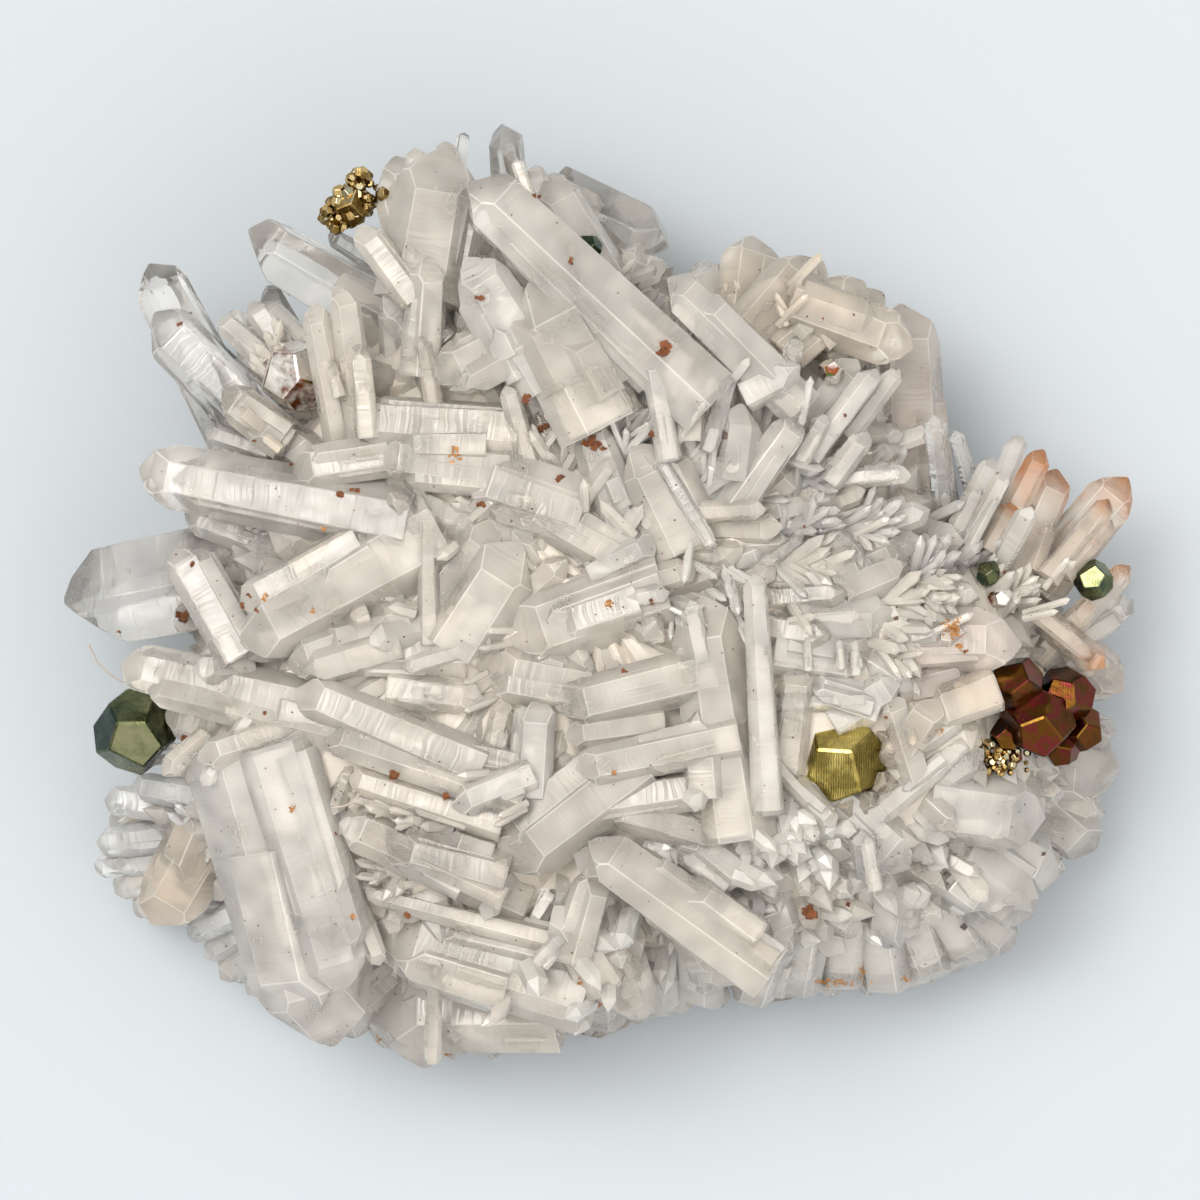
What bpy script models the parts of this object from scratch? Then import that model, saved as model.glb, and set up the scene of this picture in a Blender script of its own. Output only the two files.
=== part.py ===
"""A plate of quartz crystals set with tarnished pyrite, on a remnant of its grey host rock.

Blender 4.5 script. Lengths in the tables are millimetres; +X is to the right and +Y away from
the viewer who looks down on the plate, and +Z is up from the surface that the host rock lies on.
Every quartz crystal is a hexagonal prism cut to a six-faced point. All of them are one grown
mass, so they are joined to the mound that they stand on. Pyrite is a mineral of its own and
sits in sockets of the quartz.
"""

import math
import random
from collections import namedtuple

import bmesh
import bpy
from mathutils import Matrix, Vector

MM = 0.001

# Driving dimensions
PLATE_LENGTH = 108.0
PLATE_WIDTH = 94.4
MOUND_SHARE = 0.90
ROCK_TOP = 6.0
GAP = 0.3

# Quartz: the angle between the long axis and the normal of a point's face
POINT_ANGLE = math.radians(51.8)
TAPER = math.radians(1.2)
# Crystals narrower than this have a three-faced point
SIMPLE_WIDTH = 4.0

# The edge of the grown mass seen from above, without the crystals that stick out of it
OUTLINE = [
    (-45, 0), (-43.5, -9), (-46, -16), (-49, -25), (-44, -30), (-38.5, -35), (-33, -39.5), (-26, -43),
    (-18, -45), (-10, -44), (-2, -42.5), (6, -41), (15, -39.5), (25, -38.5), (34, -37), (41, -33.5),
    (46, -28), (50, -22), (51, -16), (50, -8), (48, 0), (44, 6), (38.5, 11), (34.5, 17), (33, 24), (27, 29),
    (18, 32.5), (10, 33), (4, 36.5), (-2, 40), (-10, 42), (-18, 42.5), (-24, 37), (-30, 32), (-35, 26),
    (-38, 18), (-41, 11), (-44, 6),
]

# The rock remnant's edge, anticlockwise from the left; it shows past the quartz along the front
ROCK_OUTLINE = [
    (-37, 0), (-36, -8), (-38, -15), (-40, -21), (-36.5, -26), (-31, -31), (-26, -34), (-20, -37),
    (-14, -38.5), (-8, -40.5), (-4, -43.8), (0, -44.6), (2.8, -43.4), (7, -38), (13, -38.6), (16, -41.2),
    (19.5, -40.6), (23, -35), (30, -32.5), (37, -29.5), (44.5, -29.3), (46.6, -27.6), (43, -21),
    (43.5, -12), (41.5, -3), (37, 4.5), (31, 10), (28, 17), (24, 23), (15, 27), (8, 28), (2, 32), (-5, 34),
    (-13, 35.5), (-19, 32), (-25, 27), (-29, 21), (-32, 13), (-35, 6),
]
ROCK_PROFILE = [(0.93, 0.0), (1.0, 2.6), (1.0, 4.4), (0.97, ROCK_TOP)]

# The mound's surface from its middle to its rim: share of the way out, and height
MOUND_PROFILE = [(0.0, 32.0), (0.32, 31.6), (0.58, 30.4), (0.78, 27.5), (0.92, 21.5), (1.0, 13.5)]
MOUND_UNDERCUT = [(0.98, 9.5), (0.92, ROCK_TOP + GAP)]
MOUND_SIDES = 22

Crystal = namedtuple("Crystal", "name tip root width depth roll")

# Tip and root are the ends of the axis, width is across it seen from above, depth is through it,
# and roll turns its six sides: at 0 one side faces up, at 30 an edge does.
UPPER_LEFT = [
    Crystal("spire_outer", (-45.2, 33.8, 17), (-33.6, 11.4, 21), 6.2, 5.0, 10),
    Crystal("spire_inner", (-44.9, 28.6, 20), (-31.6, 15.6, 23), 6.4, 4.6, 0),
    Crystal("nub_high", (-33.2, 31.1, 22), (-30.6, 26.0, 23), 2.6, 2.4, 0),
    Crystal("shoulder_block", (-35.3, 36.6, 24), (-20.8, 28.2, 28), 6.8, 5.6, 20),
    Crystal("shoulder_sliver", (-27.0, 36.3, 27), (-20.4, 32.4, 28), 2.2, 1.8, 0),
    Crystal("twin_a", (-28.4, 29.4, 31.8), (-25.6, 15.0, 31.2), 3.4, 3.0, 0),
    Crystal("twin_b", (-25.4, 31.0, 32.4), (-23.6, 15.6, 31.8), 3.8, 3.4, 15),
    Crystal("shelf_wide", (-37.8, 20.8, 25), (-27.8, 13.4, 28), 4.8, 3.6, 0),
    Crystal("shelf_thin", (-36.0, 19.0, 28), (-29.0, 13.2, 30), 2.0, 2.0, 15),
    Crystal("hollow_wall", (-21.6, 30.4, 30.6), (-15.8, 24.4, 31.2), 5.0, 4.0, 15),
]
LEFT = [
    Crystal("big_arm", (-45.9, 13.1, 25), (-18.5, 7.8, 30.6), 7.7, 6.4, 0),
    Crystal("big_arm_ledge", (-41.6, 8.9, 21), (-29.4, 4.6, 25), 4.2, 3.4, 0),
    Crystal("smoky_arm", (-54.2, -0.6, 13), (-29.0, 5.6, 20), 9.4, 7.6, 25),
    Crystal("framed_block", (-42.1, 5.2, 27), (-35.6, -5.8, 29), 4.9, 3.6, 0),
    Crystal("left_bar_top", (-47.8, -6.3, 24), (-25.0, -11.4, 30), 5.6, 4.6, 0),
    Crystal("left_bar_low", (-45.0, -8.8, 26), (-25.0, -13.4, 30.6), 3.8, 3.4, 20),
    Crystal("left_bar_back", (-43.6, -11.6, 21), (-29.0, -15.2, 27), 5.0, 4.6, 0),
    Crystal("socket_finger", (-48.2, -16.2, 18), (-37.4, -14.4, 22), 2.5, 2.4, 30),
    Crystal("sugar_a", (-50.0, -20.0, 13), (-41.0, -21.0, 16), 3.6, 3.0, 10),
    Crystal("sugar_b", (-51.0, -24.4, 11), (-41.0, -23.5, 14), 3.8, 3.2, 0),
    Crystal("sugar_d", (-47.0, -18.6, 16), (-40.0, -19.8, 19), 3.4, 3.0, 0),
    Crystal("sand_prism", (-44.8, -32.8, 15), (-38.8, -22.6, 19), 7.6, 5.6, 0),
    Crystal("sugar_f", (-40.2, -36.0, 9.6), (-32.0, -31.0, 13), 3.4, 3.0, 0),
]
LOWER_LEFT = [
    Crystal("tabular_giant", (-27.0, -44.6, 22), (-35.2, -13.6, 27), 13.4, 9.4, 0),
    Crystal("tabular_rider", (-25.4, -38.8, 28), (-32.6, -14.2, 30.6), 7.0, 5.4, 0),
    Crystal("giant_foot", (-31.0, -41.0, 16), (-34.0, -28.0, 20), 7.0, 6.0, 15),
    Crystal("front_slab", (-22.8, -32.2, 24), (-1.0, -38.6, 26), 9.4, 7.0, 0),
    Crystal("front_base", (-22.0, -41.2, 15), (-4.0, -40.6, 19), 9.4, 8.0, 10),
    Crystal("front_chin", (-18.4, -47.4, 10), (-16.6, -37.0, 15), 8.6, 7.0, 0),
    Crystal("front_post", (-16.3, -36.4, 28), (-16.8, -46.0, 19), 1.8, 1.8, 0),
    Crystal("slab_lip", (-23.4, -29.2, 28.4), (-1.5, -34.8, 29), 2.6, 2.2, 15),
    Crystal("bar_long", (-25.8, -22.0, 31.2), (-7.4, -30.2, 31.8), 4.8, 4.0, 10),
    Crystal("bar_upper", (-27.4, -13.4, 31.2), (-7.6, -19.8, 32.4), 4.4, 3.6, 20),
    Crystal("bar_mid", (-25.0, -17.6, 30.6), (-9.6, -22.4, 31.8), 3.2, 3.0, 0),
    Crystal("bar_high", (-30.2, -8.8, 31.2), (-11.6, -16.8, 31.8), 5.2, 4.0, 0),
    Crystal("bright_end", (-14.7, -20.4, 33.6), (-6.6, -17.2, 33), 3.9, 3.4, 0),
    Crystal("grey_slope", (-9.8, -26.6, 30.6), (4.2, -15.8, 31.8), 7.8, 5.2, 0),
]
CENTRE = [
    Crystal("milk_plate", (-35.8, -4.2, 30), (-15.6, 6.8, 31.2), 8.8, 5.6, 0),
    Crystal("grey_pane", (-9.8, 7.6, 31.2), (-16.4, -0.4, 30.6), 6.0, 4.4, 0),
    Crystal("pale_shield", (-7.8, 5.8, 32.4), (-14.8, -5.2, 31.8), 7.2, 4.6, 0),
    Crystal("cross_slab", (-9.8, -4.2, 31.2), (6.4, 1.4, 31.8), 8.4, 5.4, 0),
    Crystal("cross_bar", (-4.4, -10.9, 32.8), (11.4, -7.0, 33), 5.8, 4.4, 0),
    Crystal("bright_bar", (-2.4, -16.9, 33.8), (13.8, -13.6, 34), 4.6, 3.8, 0),
    Crystal("under_bar", (-4.0, -21.0, 31.8), (12.6, -18.4, 32.4), 4.4, 3.8, 15),
    Crystal("tall_blade", (15.2, 2.6, 35.6), (16.6, -21.2, 33.6), 3.1, 3.6, 15),
    Crystal("wide_face", (9.8, 0.4, 33), (13.4, -23.8, 31.8), 8.2, 5.6, 0),
    Crystal("saddle_left", (-13.4, 12.4, 32), (-1.8, 8.6, 32), 6.8, 4.4, 0),
    Crystal("saddle_mid", (3.4, 15.6, 32.4), (8.6, 5.0, 31.6), 7.6, 4.6, 15),
    Crystal("saddle_right", (31.6, 5.2, 27), (21.4, 0.4, 30), 7.6, 4.6, 0),
    Crystal("fang", (8.8, 0.0, 35.5), (10.2, -6.0, 34.2), 2.4, 2.2, 0),
    Crystal("low_blade", (-1.2, -24.0, 32.4), (16.8, -37.0, 30.4), 6.4, 5.4, 30),
    Crystal("low_blade_foot", (14.2, -38.8, 22), (8.6, -29.0, 27), 7.2, 6.0, 0),
    Crystal("front_mid_a", (-4.6, -30.2, 31), (0.6, -38.6, 28), 4.6, 4.0, 10),
    Crystal("front_mid_b", (-0.2, -26.4, 31.2), (-2.8, -36.0, 30), 4.2, 4.0, 25),
    Crystal("front_mid_c", (3.8, -42.0, 22), (0.6, -32.6, 28), 6.2, 5.0, 0),
]
TOP = [
    Crystal("white_plate", (-13.3, 33.8, 34.2), (-5.2, 21.0, 33.4), 6.6, 4.0, 0),
    Crystal("fan_plate", (-7.2, 31.4, 34.4), (0.2, 17.0, 33.6), 8.8, 5.0, 15),
    Crystal("side_plate", (-16.5, 21.9, 32.8), (-5.8, 27.2, 33.4), 5.6, 4.0, 0),
    Crystal("upright", (-16.8, 34.0, 32.8), (-17.6, 22.2, 31.8), 4.6, 3.8, 20),
    Crystal("leaning", (-23.8, 37.2, 31.6), (-18.2, 29.6, 32.4), 3.7, 3.0, 0),
    Crystal("lintel", (-24.6, 17.6, 31.2), (-8.0, 16.4, 31.8), 6.0, 4.4, 15),
    Crystal("crest", (-15.0, 45.0, 27), (-17.6, 29.4, 30), 9.6, 7.2, 0),
    Crystal("crest_left", (-20.6, 44.2, 25), (-17.4, 33.0, 28), 5.8, 5.0, 25),
    Crystal("crest_nub_b", (-15.3, 45.8, 24), (-15.0, 40.0, 26), 3.0, 2.6, 15),
    Crystal("crest_needle", (-13.6, 46.8, 22), (-15.2, 38.0, 25), 1.7, 1.6, 0),
    Crystal("great_blade", (-12.9, 41.4, 34.2), (10.8, 19.2, 32.8), 7.5, 6.0, 35),
    Crystal("second_blade", (6.4, 31.6, 33.4), (20.0, 18.6, 32.2), 5.1, 4.4, 30),
    Crystal("top_thumb", (-9.5, 47.2, 25), (-8.8, 37.2, 29), 4.2, 4.0, 15),
    Crystal("top_bar", (-9.1, 44.6, 29.6), (-7.3, 39.4, 30.2), 1.9, 1.8, 0),
    Crystal("grey_back", (6.9, 34.9, 18), (-4.8, 40.4, 23), 7.6, 6.4, 20),
    Crystal("back_tooth_b", (-4.6, 42.9, 19), (-3.4, 38.0, 22), 2.4, 2.2, 20),
    Crystal("back_panel", (-5.4, 42.0, 24), (0.6, 31.6, 25), 5.4, 4.4, 10),
    Crystal("back_sill", (6.7, 33.6, 23), (-0.6, 30.8, 27), 3.4, 3.4, 0),
    Crystal("back_low", (3.4, 38.6, 10), (-2.0, 32.0, 14), 6.0, 6.0, 0),
]
UPPER_RIGHT = [
    Crystal("peak", (15.2, 36.5, 20), (13.8, 26.6, 25), 6.6, 5.6, 25),
    Crystal("saddle", (10.0, 34.0, 19), (12.8, 27.6, 24), 5.4, 4.6, 0),
    Crystal("cream_a", (21.9, 34.2, 24), (14.4, 25.2, 27.6), 6.6, 5.2, 0),
    Crystal("cream_b", (26.4, 31.8, 25), (17.6, 24.4, 28.4), 6.0, 4.8, 15),
    Crystal("cream_c", (31.2, 25.2, 27), (18.8, 29.8, 28.6), 6.4, 5.0, 0),
    Crystal("cream_d", (28.4, 30.6, 22), (21.6, 24.6, 25), 4.8, 4.4, 0),
    Crystal("tall_right", (30.4, 29.9, 15), (31.2, 9.2, 17), 7.8, 6.6, 10),
    Crystal("fan_bright", (27.4, 23.0, 30.6), (20.8, 14.2, 30), 2.8, 2.6, 20),
    Crystal("fan_broad", (25.6, 24.0, 28), (19.6, 16.6, 29), 3.6, 3.0, 0),
    Crystal("fan_grey", (29.7, 23.0, 27.4), (24.6, 16.2, 27.6), 2.4, 2.2, 0),
    Crystal("fan_side", (30.9, 12.5, 30), (24.0, 12.0, 28.6), 2.2, 2.2, 0),
    Crystal("white_splinter", (5.1, 24.0, 35), (6.9, 13.8, 33.6), 2.7, 2.4, 10),
    Crystal("clear_splinter", (12.9, 22.2, 34.8), (10.7, 14.6, 33.6), 2.0, 2.0, 25),
    Crystal("mid_block", (14.2, 19.4, 33.8), (13.2, 12.0, 32.8), 4.8, 4.0, 0),
    Crystal("mid_lath", (19.6, 18.2, 33.4), (12.8, 8.6, 32.8), 3.8, 3.2, 15),
    Crystal("needle_b", (28.2, 2.1, 30), (20.6, 9.4, 30), 1.8, 1.7, 0),
    Crystal("needle_c", (20.2, 6.6, 31.4), (14.2, 2.2, 30.6), 2.0, 1.8, 10),
]
RIGHT = [
    Crystal("lance_a", (33.3, 18.5, 26), (34.9, 7.4, 25), 2.8, 2.4, 0),
    Crystal("lance_b", (35.4, 17.0, 25), (39.4, 4.8, 25), 2.0, 1.9, 0),
    Crystal("finger_a", (39.4, 14.2, 22), (34.8, 5.0, 23), 2.6, 2.4, 10),
    Crystal("finger_b", (40.5, 12.8, 24), (35.6, 3.6, 24), 2.0, 1.9, 0),
    Crystal("finger_round", (42.3, 16.5, 15), (37.6, 4.6, 19), 2.6, 2.4, 0),
    Crystal("rust_a", (44.4, 15.1, 20), (38.2, 3.0, 22), 3.0, 2.8, 0),
    Crystal("rust_b", (46.0, 13.2, 16.6), (40.4, 0.4, 20), 4.8, 4.2, 15),
    Crystal("finger_white", (42.9, 9.4, 26), (39.3, 2.2, 26), 2.6, 2.4, 0),
    Crystal("rust_c", (53.0, 12.5, 15), (43.4, 0.8, 20), 5.0, 4.4, 0),
    Crystal("rust_d", (53.4, 3.4, 16), (44.0, -6.0, 20), 2.9, 2.8, 0),
    Crystal("grey_thumb", (54.0, 0.0, 11), (44.6, -5.8, 16), 3.4, 3.2, 20),
    Crystal("rust_e", (50.6, -6.9, 21), (43.2, -0.8, 24), 3.3, 3.0, 0),
    Crystal("pink_lobe", (52.9, -9.0, 12.6), (47.0, -4.6, 17), 4.8, 4.2, 0),
    Crystal("smoky_flank", (52.8, -17.4, 8), (43.0, -16.6, 11), 11.0, 7.4, 0),
    Crystal("smoky_toe", (50.2, -25.4, 7), (42.0, -18.6, 11), 6.4, 5.6, 15),
    Crystal("pink_plate", (41.9, -4.2, 29), (30.2, -4.0, 29), 6.8, 4.8, 0),
    Crystal("pink_plate_low", (38.8, -6.9, 26), (29.4, -9.4, 27.6), 6.2, 5.0, 15),
    Crystal("striped_bar", (26.7, -22.0, 30), (36.0, -14.4, 28), 2.9, 2.8, 0),
    Crystal("sand_bar", (28.2, -14.4, 28), (36.6, -8.8, 27), 4.0, 3.6, 10),
    Crystal("cross_peg", (23.4, -22.4, 31.4), (16.8, -15.8, 31.8), 2.7, 2.6, 0),
    Crystal("neat_prism", (25.7, -22.9, 31.8), (26.7, -30.4, 30.4), 2.8, 2.6, 0),
    Crystal("mid_boulder", (30.8, -26.8, 27), (23.4, -20.4, 28), 6.4, 5.0, 0),
    Crystal("milk_lobe_a", (44.6, -21.4, 22), (32.4, -19.8, 25), 8.2, 6.4, 10),
    Crystal("milk_lobe_b", (46.2, -27.6, 15), (36.6, -23.0, 19), 6.6, 6.0, 0),
    Crystal("milk_lobe_c", (43.4, -31.6, 16), (35.4, -25.4, 21), 7.4, 6.0, 20),
]
# The chunky teeth along the front edge, from right to left
FRONT_TEETH = [
    Crystal("tooth_a", (41.8, -35.0, 10.4), (35.2, -29.4, 15), 5.2, 5.0, 0),
    Crystal("tooth_b", (38.4, -36.9, 10.4), (33.6, -29.4, 16), 5.8, 5.0, 15),
    Crystal("tooth_c", (33.9, -38.6, 9.4), (30.8, -30.4, 17), 6.0, 5.4, 0),
    Crystal("tooth_d", (29.3, -39.9, 9.4), (27.8, -32.0, 17), 5.6, 5.2, 20),
    Crystal("tooth_e", (24.5, -39.4, 10.4), (24.6, -32.0, 19), 5.4, 5.0, 0),
    Crystal("tooth_f", (19.8, -40.1, 10.4), (20.8, -32.6, 20), 5.2, 5.0, 10),
    Crystal("tooth_g", (15.4, -40.4, 10.4), (17.4, -33.4, 21), 6.0, 5.6, 0),
    Crystal("tooth_h", (10.0, -41.2, 9.4), (9.8, -33.4, 19), 6.2, 5.6, 25),
    Crystal("tooth_i", (5.3, -42.6, 9.4), (4.8, -35.4, 18), 6.6, 5.8, 0),
    Crystal("tooth_j", (-0.2, -43.7, 9.4), (0.0, -36.4, 18), 7.0, 6.0, 10),
    Crystal("tooth_k", (-6.0, -44.6, 9.4), (-6.2, -37.4, 17), 7.0, 6.0, 0),
    Crystal("tooth_l", (-12.0, -46.0, 9.4), (-11.0, -38.4, 16), 6.8, 6.0, 20),
    Crystal("lump_white", (18.6, -36.6, 21), (16.6, -31.0, 24), 5.0, 4.6, 0),
    Crystal("lump_right", (28.8, -34.8, 19), (29.6, -28.6, 23), 5.2, 4.6, 15),
]
NAMED_CRYSTALS = (
    UPPER_LEFT + LEFT + LOWER_LEFT + CENTRE + TOP + UPPER_RIGHT + RIGHT + FRONT_TEETH
)

# These lean out past the mound, and their roots sink to its falling surface
SUNK_ROOTS = {row.name for row in UPPER_LEFT + RIGHT} | {
    "top_thumb", "top_bar", "grey_back", "back_sill", "back_low", "bar_long",
}

# The skirt of crystals round the flank, under the ones seen from above
SKIRT_COUNT = 12
SKIRT_REACH = 0.965
SEED = 7

Pyrite = namedtuple("Pyrite", "centre inradius lean turn")

# Pyrite crystals that stand alone: centre, inner radius, and how the up-facing side leans
PYRITE_SINGLES = {
    "pyrite_centre": Pyrite((24.0, -15.7, 27.6), 4.0, (-8, 10), 18),
    "pyrite_left_rim": Pyrite((-46.6, -13.2, 20.0), 3.5, (24, -38), 40),
    "pyrite_upper_left": Pyrite((-30.2, 22.3, 25.6), 3.1, (6, 4), 75),
    "pyrite_green": Pyrite((49.5, 2.0, 18.6), 1.7, (20, 12), 35),
    "pyrite_hinge": Pyrite((38.8, 2.7, 22.8), 1.1, (10, -15), 10),
    "pyrite_notch": Pyrite((40.0, 0.4, 22.2), 1.0, (-20, 10), 55),
    "pyrite_fan_gap": Pyrite((22.9, 22.6, 30.4), 1.1, (15, 20), 30),
    "pyrite_under_blade": Pyrite((-1.2, 35.0, 27.8), 1.2, (-12, 25), 65),
}
# Intergrown pyrite: the crystals of each group are one solid
PYRITE_GROUPS = {
    "pyrite_right_cluster": [
        Pyrite((41.4, -8.6, 26.4), 2.5, (12, -10), 12),
        Pyrite((43.6, -12.0, 25.8), 3.1, (-6, 8), 44),
        Pyrite((46.4, -9.6, 24.6), 2.5, (14, 16), 70),
        Pyrite((48.0, -12.8, 23.2), 2.0, (22, -12), 25),
        Pyrite((40.6, -13.4, 25.2), 1.5, (-14, -8), 60),
        Pyrite((46.0, -14.6, 23.6), 1.7, (8, 26), 15),
        Pyrite((41.0, -15.4, 24.0), 1.0, (30, 0), 35),
        Pyrite((39.8, -16.2, 23.8), 0.9, (16, 16), 50),
    ],
}
DRUSE_START = (-22.6, 41.6, 26.6)
DRUSE_END = (-27.0, 37.2, 26.0)
DRUSE_HALF_WIDTH = 1.9
DRUSE_GRAINS = 10


def clear_scene():
    for obj in list(bpy.data.objects):
        bpy.data.objects.remove(obj, do_unlink=True)


def new_collection(name):
    collection = bpy.data.collections.new(name)
    bpy.context.scene.collection.children.link(collection)
    return collection


def material(name, colour, roughness, metallic):
    made = bpy.data.materials.new(name)
    made.use_nodes = True
    shader = made.node_tree.nodes["Principled BSDF"]
    shader.inputs["Base Color"].default_value = (*colour, 1)
    shader.inputs["Roughness"].default_value = roughness
    shader.inputs["Metallic"].default_value = metallic
    made.diffuse_color = (*colour, 1)
    return made


def cut_face(body, point, normal):
    """Grinds one flat face on a convex body: what is beyond the plane goes, and the cut is closed."""
    parts = body.verts[:] + body.edges[:] + body.faces[:]
    cut = bmesh.ops.bisect_plane(
        body, geom=parts, plane_co=point, plane_no=normal, clear_outer=True
    )
    rim = [part for part in cut["geom_cut"] if isinstance(part, bmesh.types.BMEdge)]
    if len(rim) > 2:
        bmesh.ops.contextual_create(body, geom=rim)


def axis_frame(tip, root):
    """Turns local +Z onto the axis from root to tip, with local +X level."""
    axis = (tip - root).normalized()
    side = Vector((0, 0, 1)).cross(axis)
    side = side.normalized() if side.length > 1e-3 else Vector((1, 0, 0))
    up = axis.cross(side)
    return Matrix((side, up, axis)).transposed().to_4x4()


def quartz_crystal(body, crystal, dice):
    """Adds one crystal: a block cut to six sides and six point faces, three large and three small."""
    tip, root = Vector(crystal.tip), Vector(crystal.root)
    if crystal.name in SUNK_ROOTS:
        root.z = min(root.z, mound_height(root.x, root.y) - 0.2 * crystal.depth)
    length = (tip - root).length
    reach = crystal.width * math.cos(math.radians(30)) / 2
    grown = bmesh.new()
    bmesh.ops.create_cube(grown, size=1.0)
    block = Matrix.Diagonal((3 * crystal.width, 3 * crystal.width, length, 1))
    grown.transform(Matrix.Translation((0, 0, length / 2)) @ block)
    lean = Vector((dice.uniform(-0.15, 0.15), dice.uniform(-0.15, 0.15), 0)) * reach
    faces = 6 if crystal.width > SIMPLE_WIDTH else 3
    for k in range(6):
        turn = math.radians(90 + 60 * k + crystal.roll)
        outward = Vector((math.cos(turn), math.sin(turn), 0))
        side_at = reach * dice.uniform(0.88, 1.08)
        side_normal = outward * math.cos(TAPER) + Vector((0, 0, math.sin(TAPER)))
        cut_face(grown, outward * side_at + Vector((0, 0, length * 0.4)), side_normal)
        if k % 2 and faces == 3:
            continue
        small = dice.uniform(0.14, 0.40) if k % 2 else dice.uniform(0.0, 0.06)
        normal = outward * math.sin(POINT_ANGLE) + Vector((0, 0, math.cos(POINT_ANGLE)))
        cut_face(grown, Vector((0, 0, length)) + lean + normal * small * reach, normal)
    squeeze = Matrix.Diagonal((1, crystal.depth / crystal.width, 1, 1))
    place = Matrix.Translation(root) @ axis_frame(tip, root) @ squeeze
    grown.transform(place)
    add_to(body, grown)


def add_to(body, piece):
    """Moves a finished piece into body."""
    held = bpy.data.meshes.new("held")
    piece.to_mesh(held)
    piece.free()
    body.from_mesh(held)
    bpy.data.meshes.remove(held)


def outline_radius(angle):
    """How far the grown mass reaches from the middle in this direction."""
    corners = sorted((math.atan2(y, x), math.hypot(x, y)) for x, y in OUTLINE)
    for (a0, r0), (a1, r1) in zip(corners, corners[1:]):
        if a0 <= angle <= a1:
            return r0 + (r1 - r0) * (angle - a0) / (a1 - a0)
    (a0, r0), (a1, r1) = corners[-1], corners[0]
    gone = (angle - a0) % math.tau
    return r0 + (r1 - r0) * gone / ((a1 - a0) % math.tau)


def mound_share(x, y):
    """How far out a point is, as a share of the way from the middle to the mound's rim."""
    return math.hypot(x, y) / (MOUND_SHARE * outline_radius(math.atan2(y, x)))


def mound_height(x, y):
    """Height of the mound's surface over a point."""
    share = mound_share(x, y)
    for (s0, z0), (s1, z1) in zip(MOUND_PROFILE, MOUND_PROFILE[1:]):
        if share <= s1:
            return z0 + (z1 - z0) * (share - s0) / (s1 - s0)
    return MOUND_PROFILE[-1][1]


def quartz_mound(body, dice):
    """The solid quartz under the crystals: rings of the plate's outline, uneven, on a flat base."""
    rings = []
    for share, height in MOUND_PROFILE[1:] + MOUND_UNDERCUT:
        rough = 0.0 if height < ROCK_TOP + 1 else 1.0
        ring = []
        for k in range(MOUND_SIDES):
            angle = math.tau * k / MOUND_SIDES - math.pi
            reach = share * MOUND_SHARE * outline_radius(angle) + dice.uniform(-1, 1) * rough
            level = height + dice.uniform(-0.8, 0.8) * rough
            ring.append(body.verts.new((reach * math.cos(angle), reach * math.sin(angle), level)))
        rings.append(ring)
    summit = body.verts.new((0, 0, MOUND_PROFILE[0][1]))
    for k in range(MOUND_SIDES):
        ahead = (k + 1) % MOUND_SIDES
        body.faces.new((summit, rings[0][k], rings[0][ahead]))
        for upper, lower in zip(rings, rings[1:]):
            body.faces.new((upper[k], lower[k], lower[ahead], upper[ahead]))
    body.faces.new(reversed(rings[-1]))


def skirt_crystals(dice):
    """Crystals that lie round the flank under the ones seen from above."""
    for k in range(SKIRT_COUNT):
        angle = math.tau * (k + dice.uniform(-0.25, 0.25)) / SKIRT_COUNT - math.pi
        angle = (angle + math.pi) % math.tau - math.pi
        reach = outline_radius(angle) * SKIRT_REACH * dice.uniform(0.94, 1.0)
        start = reach - dice.uniform(12, 15)
        height = dice.uniform(9, 13)
        width = dice.uniform(4.0, 6.5)
        swing = angle + dice.uniform(-0.12, 0.12)
        root = (start * math.cos(angle), start * math.sin(angle), height + 5)
        tip = (reach * math.cos(swing), reach * math.sin(swing), height)
        yield Crystal(f"skirt_{k}", tip, root, width, width * 0.85, dice.uniform(0, 60))


def pyritohedron(body, pyrite, grow=0.0):
    """Adds a body of twelve five-sided faces, the usual form of pyrite."""
    reach = pyrite.inradius + grow
    cube = bmesh.new()
    bmesh.ops.create_cube(cube, size=4 * reach)
    for long_side, short_side in ((0, 1), (1, 2), (2, 0)):
        for s in (-1, 1):
            for t in (-1, 1):
                normal = Vector((0, 0, 0))
                normal[long_side] = 2 * s
                normal[short_side] = t
                normal.normalize()
                cut_face(cube, normal * reach, normal)
    face_up = Vector((0, 1, 2)).normalized().rotation_difference(Vector((0, 0, 1))).to_matrix().to_4x4()
    lean_x, lean_y = (math.radians(angle) for angle in pyrite.lean)
    lean = Matrix.Rotation(lean_y, 4, "Y") @ Matrix.Rotation(lean_x, 4, "X")
    turn = Matrix.Rotation(math.radians(pyrite.turn), 4, "Z")
    cube.transform(Matrix.Translation(pyrite.centre) @ lean @ turn @ face_up)
    add_to(body, cube)


def druse_grains(dice):
    """The granular pyrite on the top left shoulder: small crystals piled along a short slope."""
    start, end = Vector(DRUSE_START), Vector(DRUSE_END)
    across = (end - start).cross(Vector((0, 0, 1))).normalized()
    for k in range(DRUSE_GRAINS):
        along = (k + 0.5) / DRUSE_GRAINS
        offset = across * DRUSE_HALF_WIDTH * dice.uniform(-1, 1) * (1.15 - 0.5 * along)
        place = start.lerp(end, along) + offset + Vector((0, 0, dice.uniform(-0.5, 0.5)))
        lean = (dice.uniform(-40, 40), dice.uniform(-40, 40))
        yield Pyrite(tuple(place), dice.uniform(0.75, 1.15), lean, dice.uniform(0, 90))
    core = start.lerp(end, 0.5) - Vector((0, 0, 0.6))
    yield Pyrite(tuple(core), 2.0, (0, 0), 45)


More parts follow.
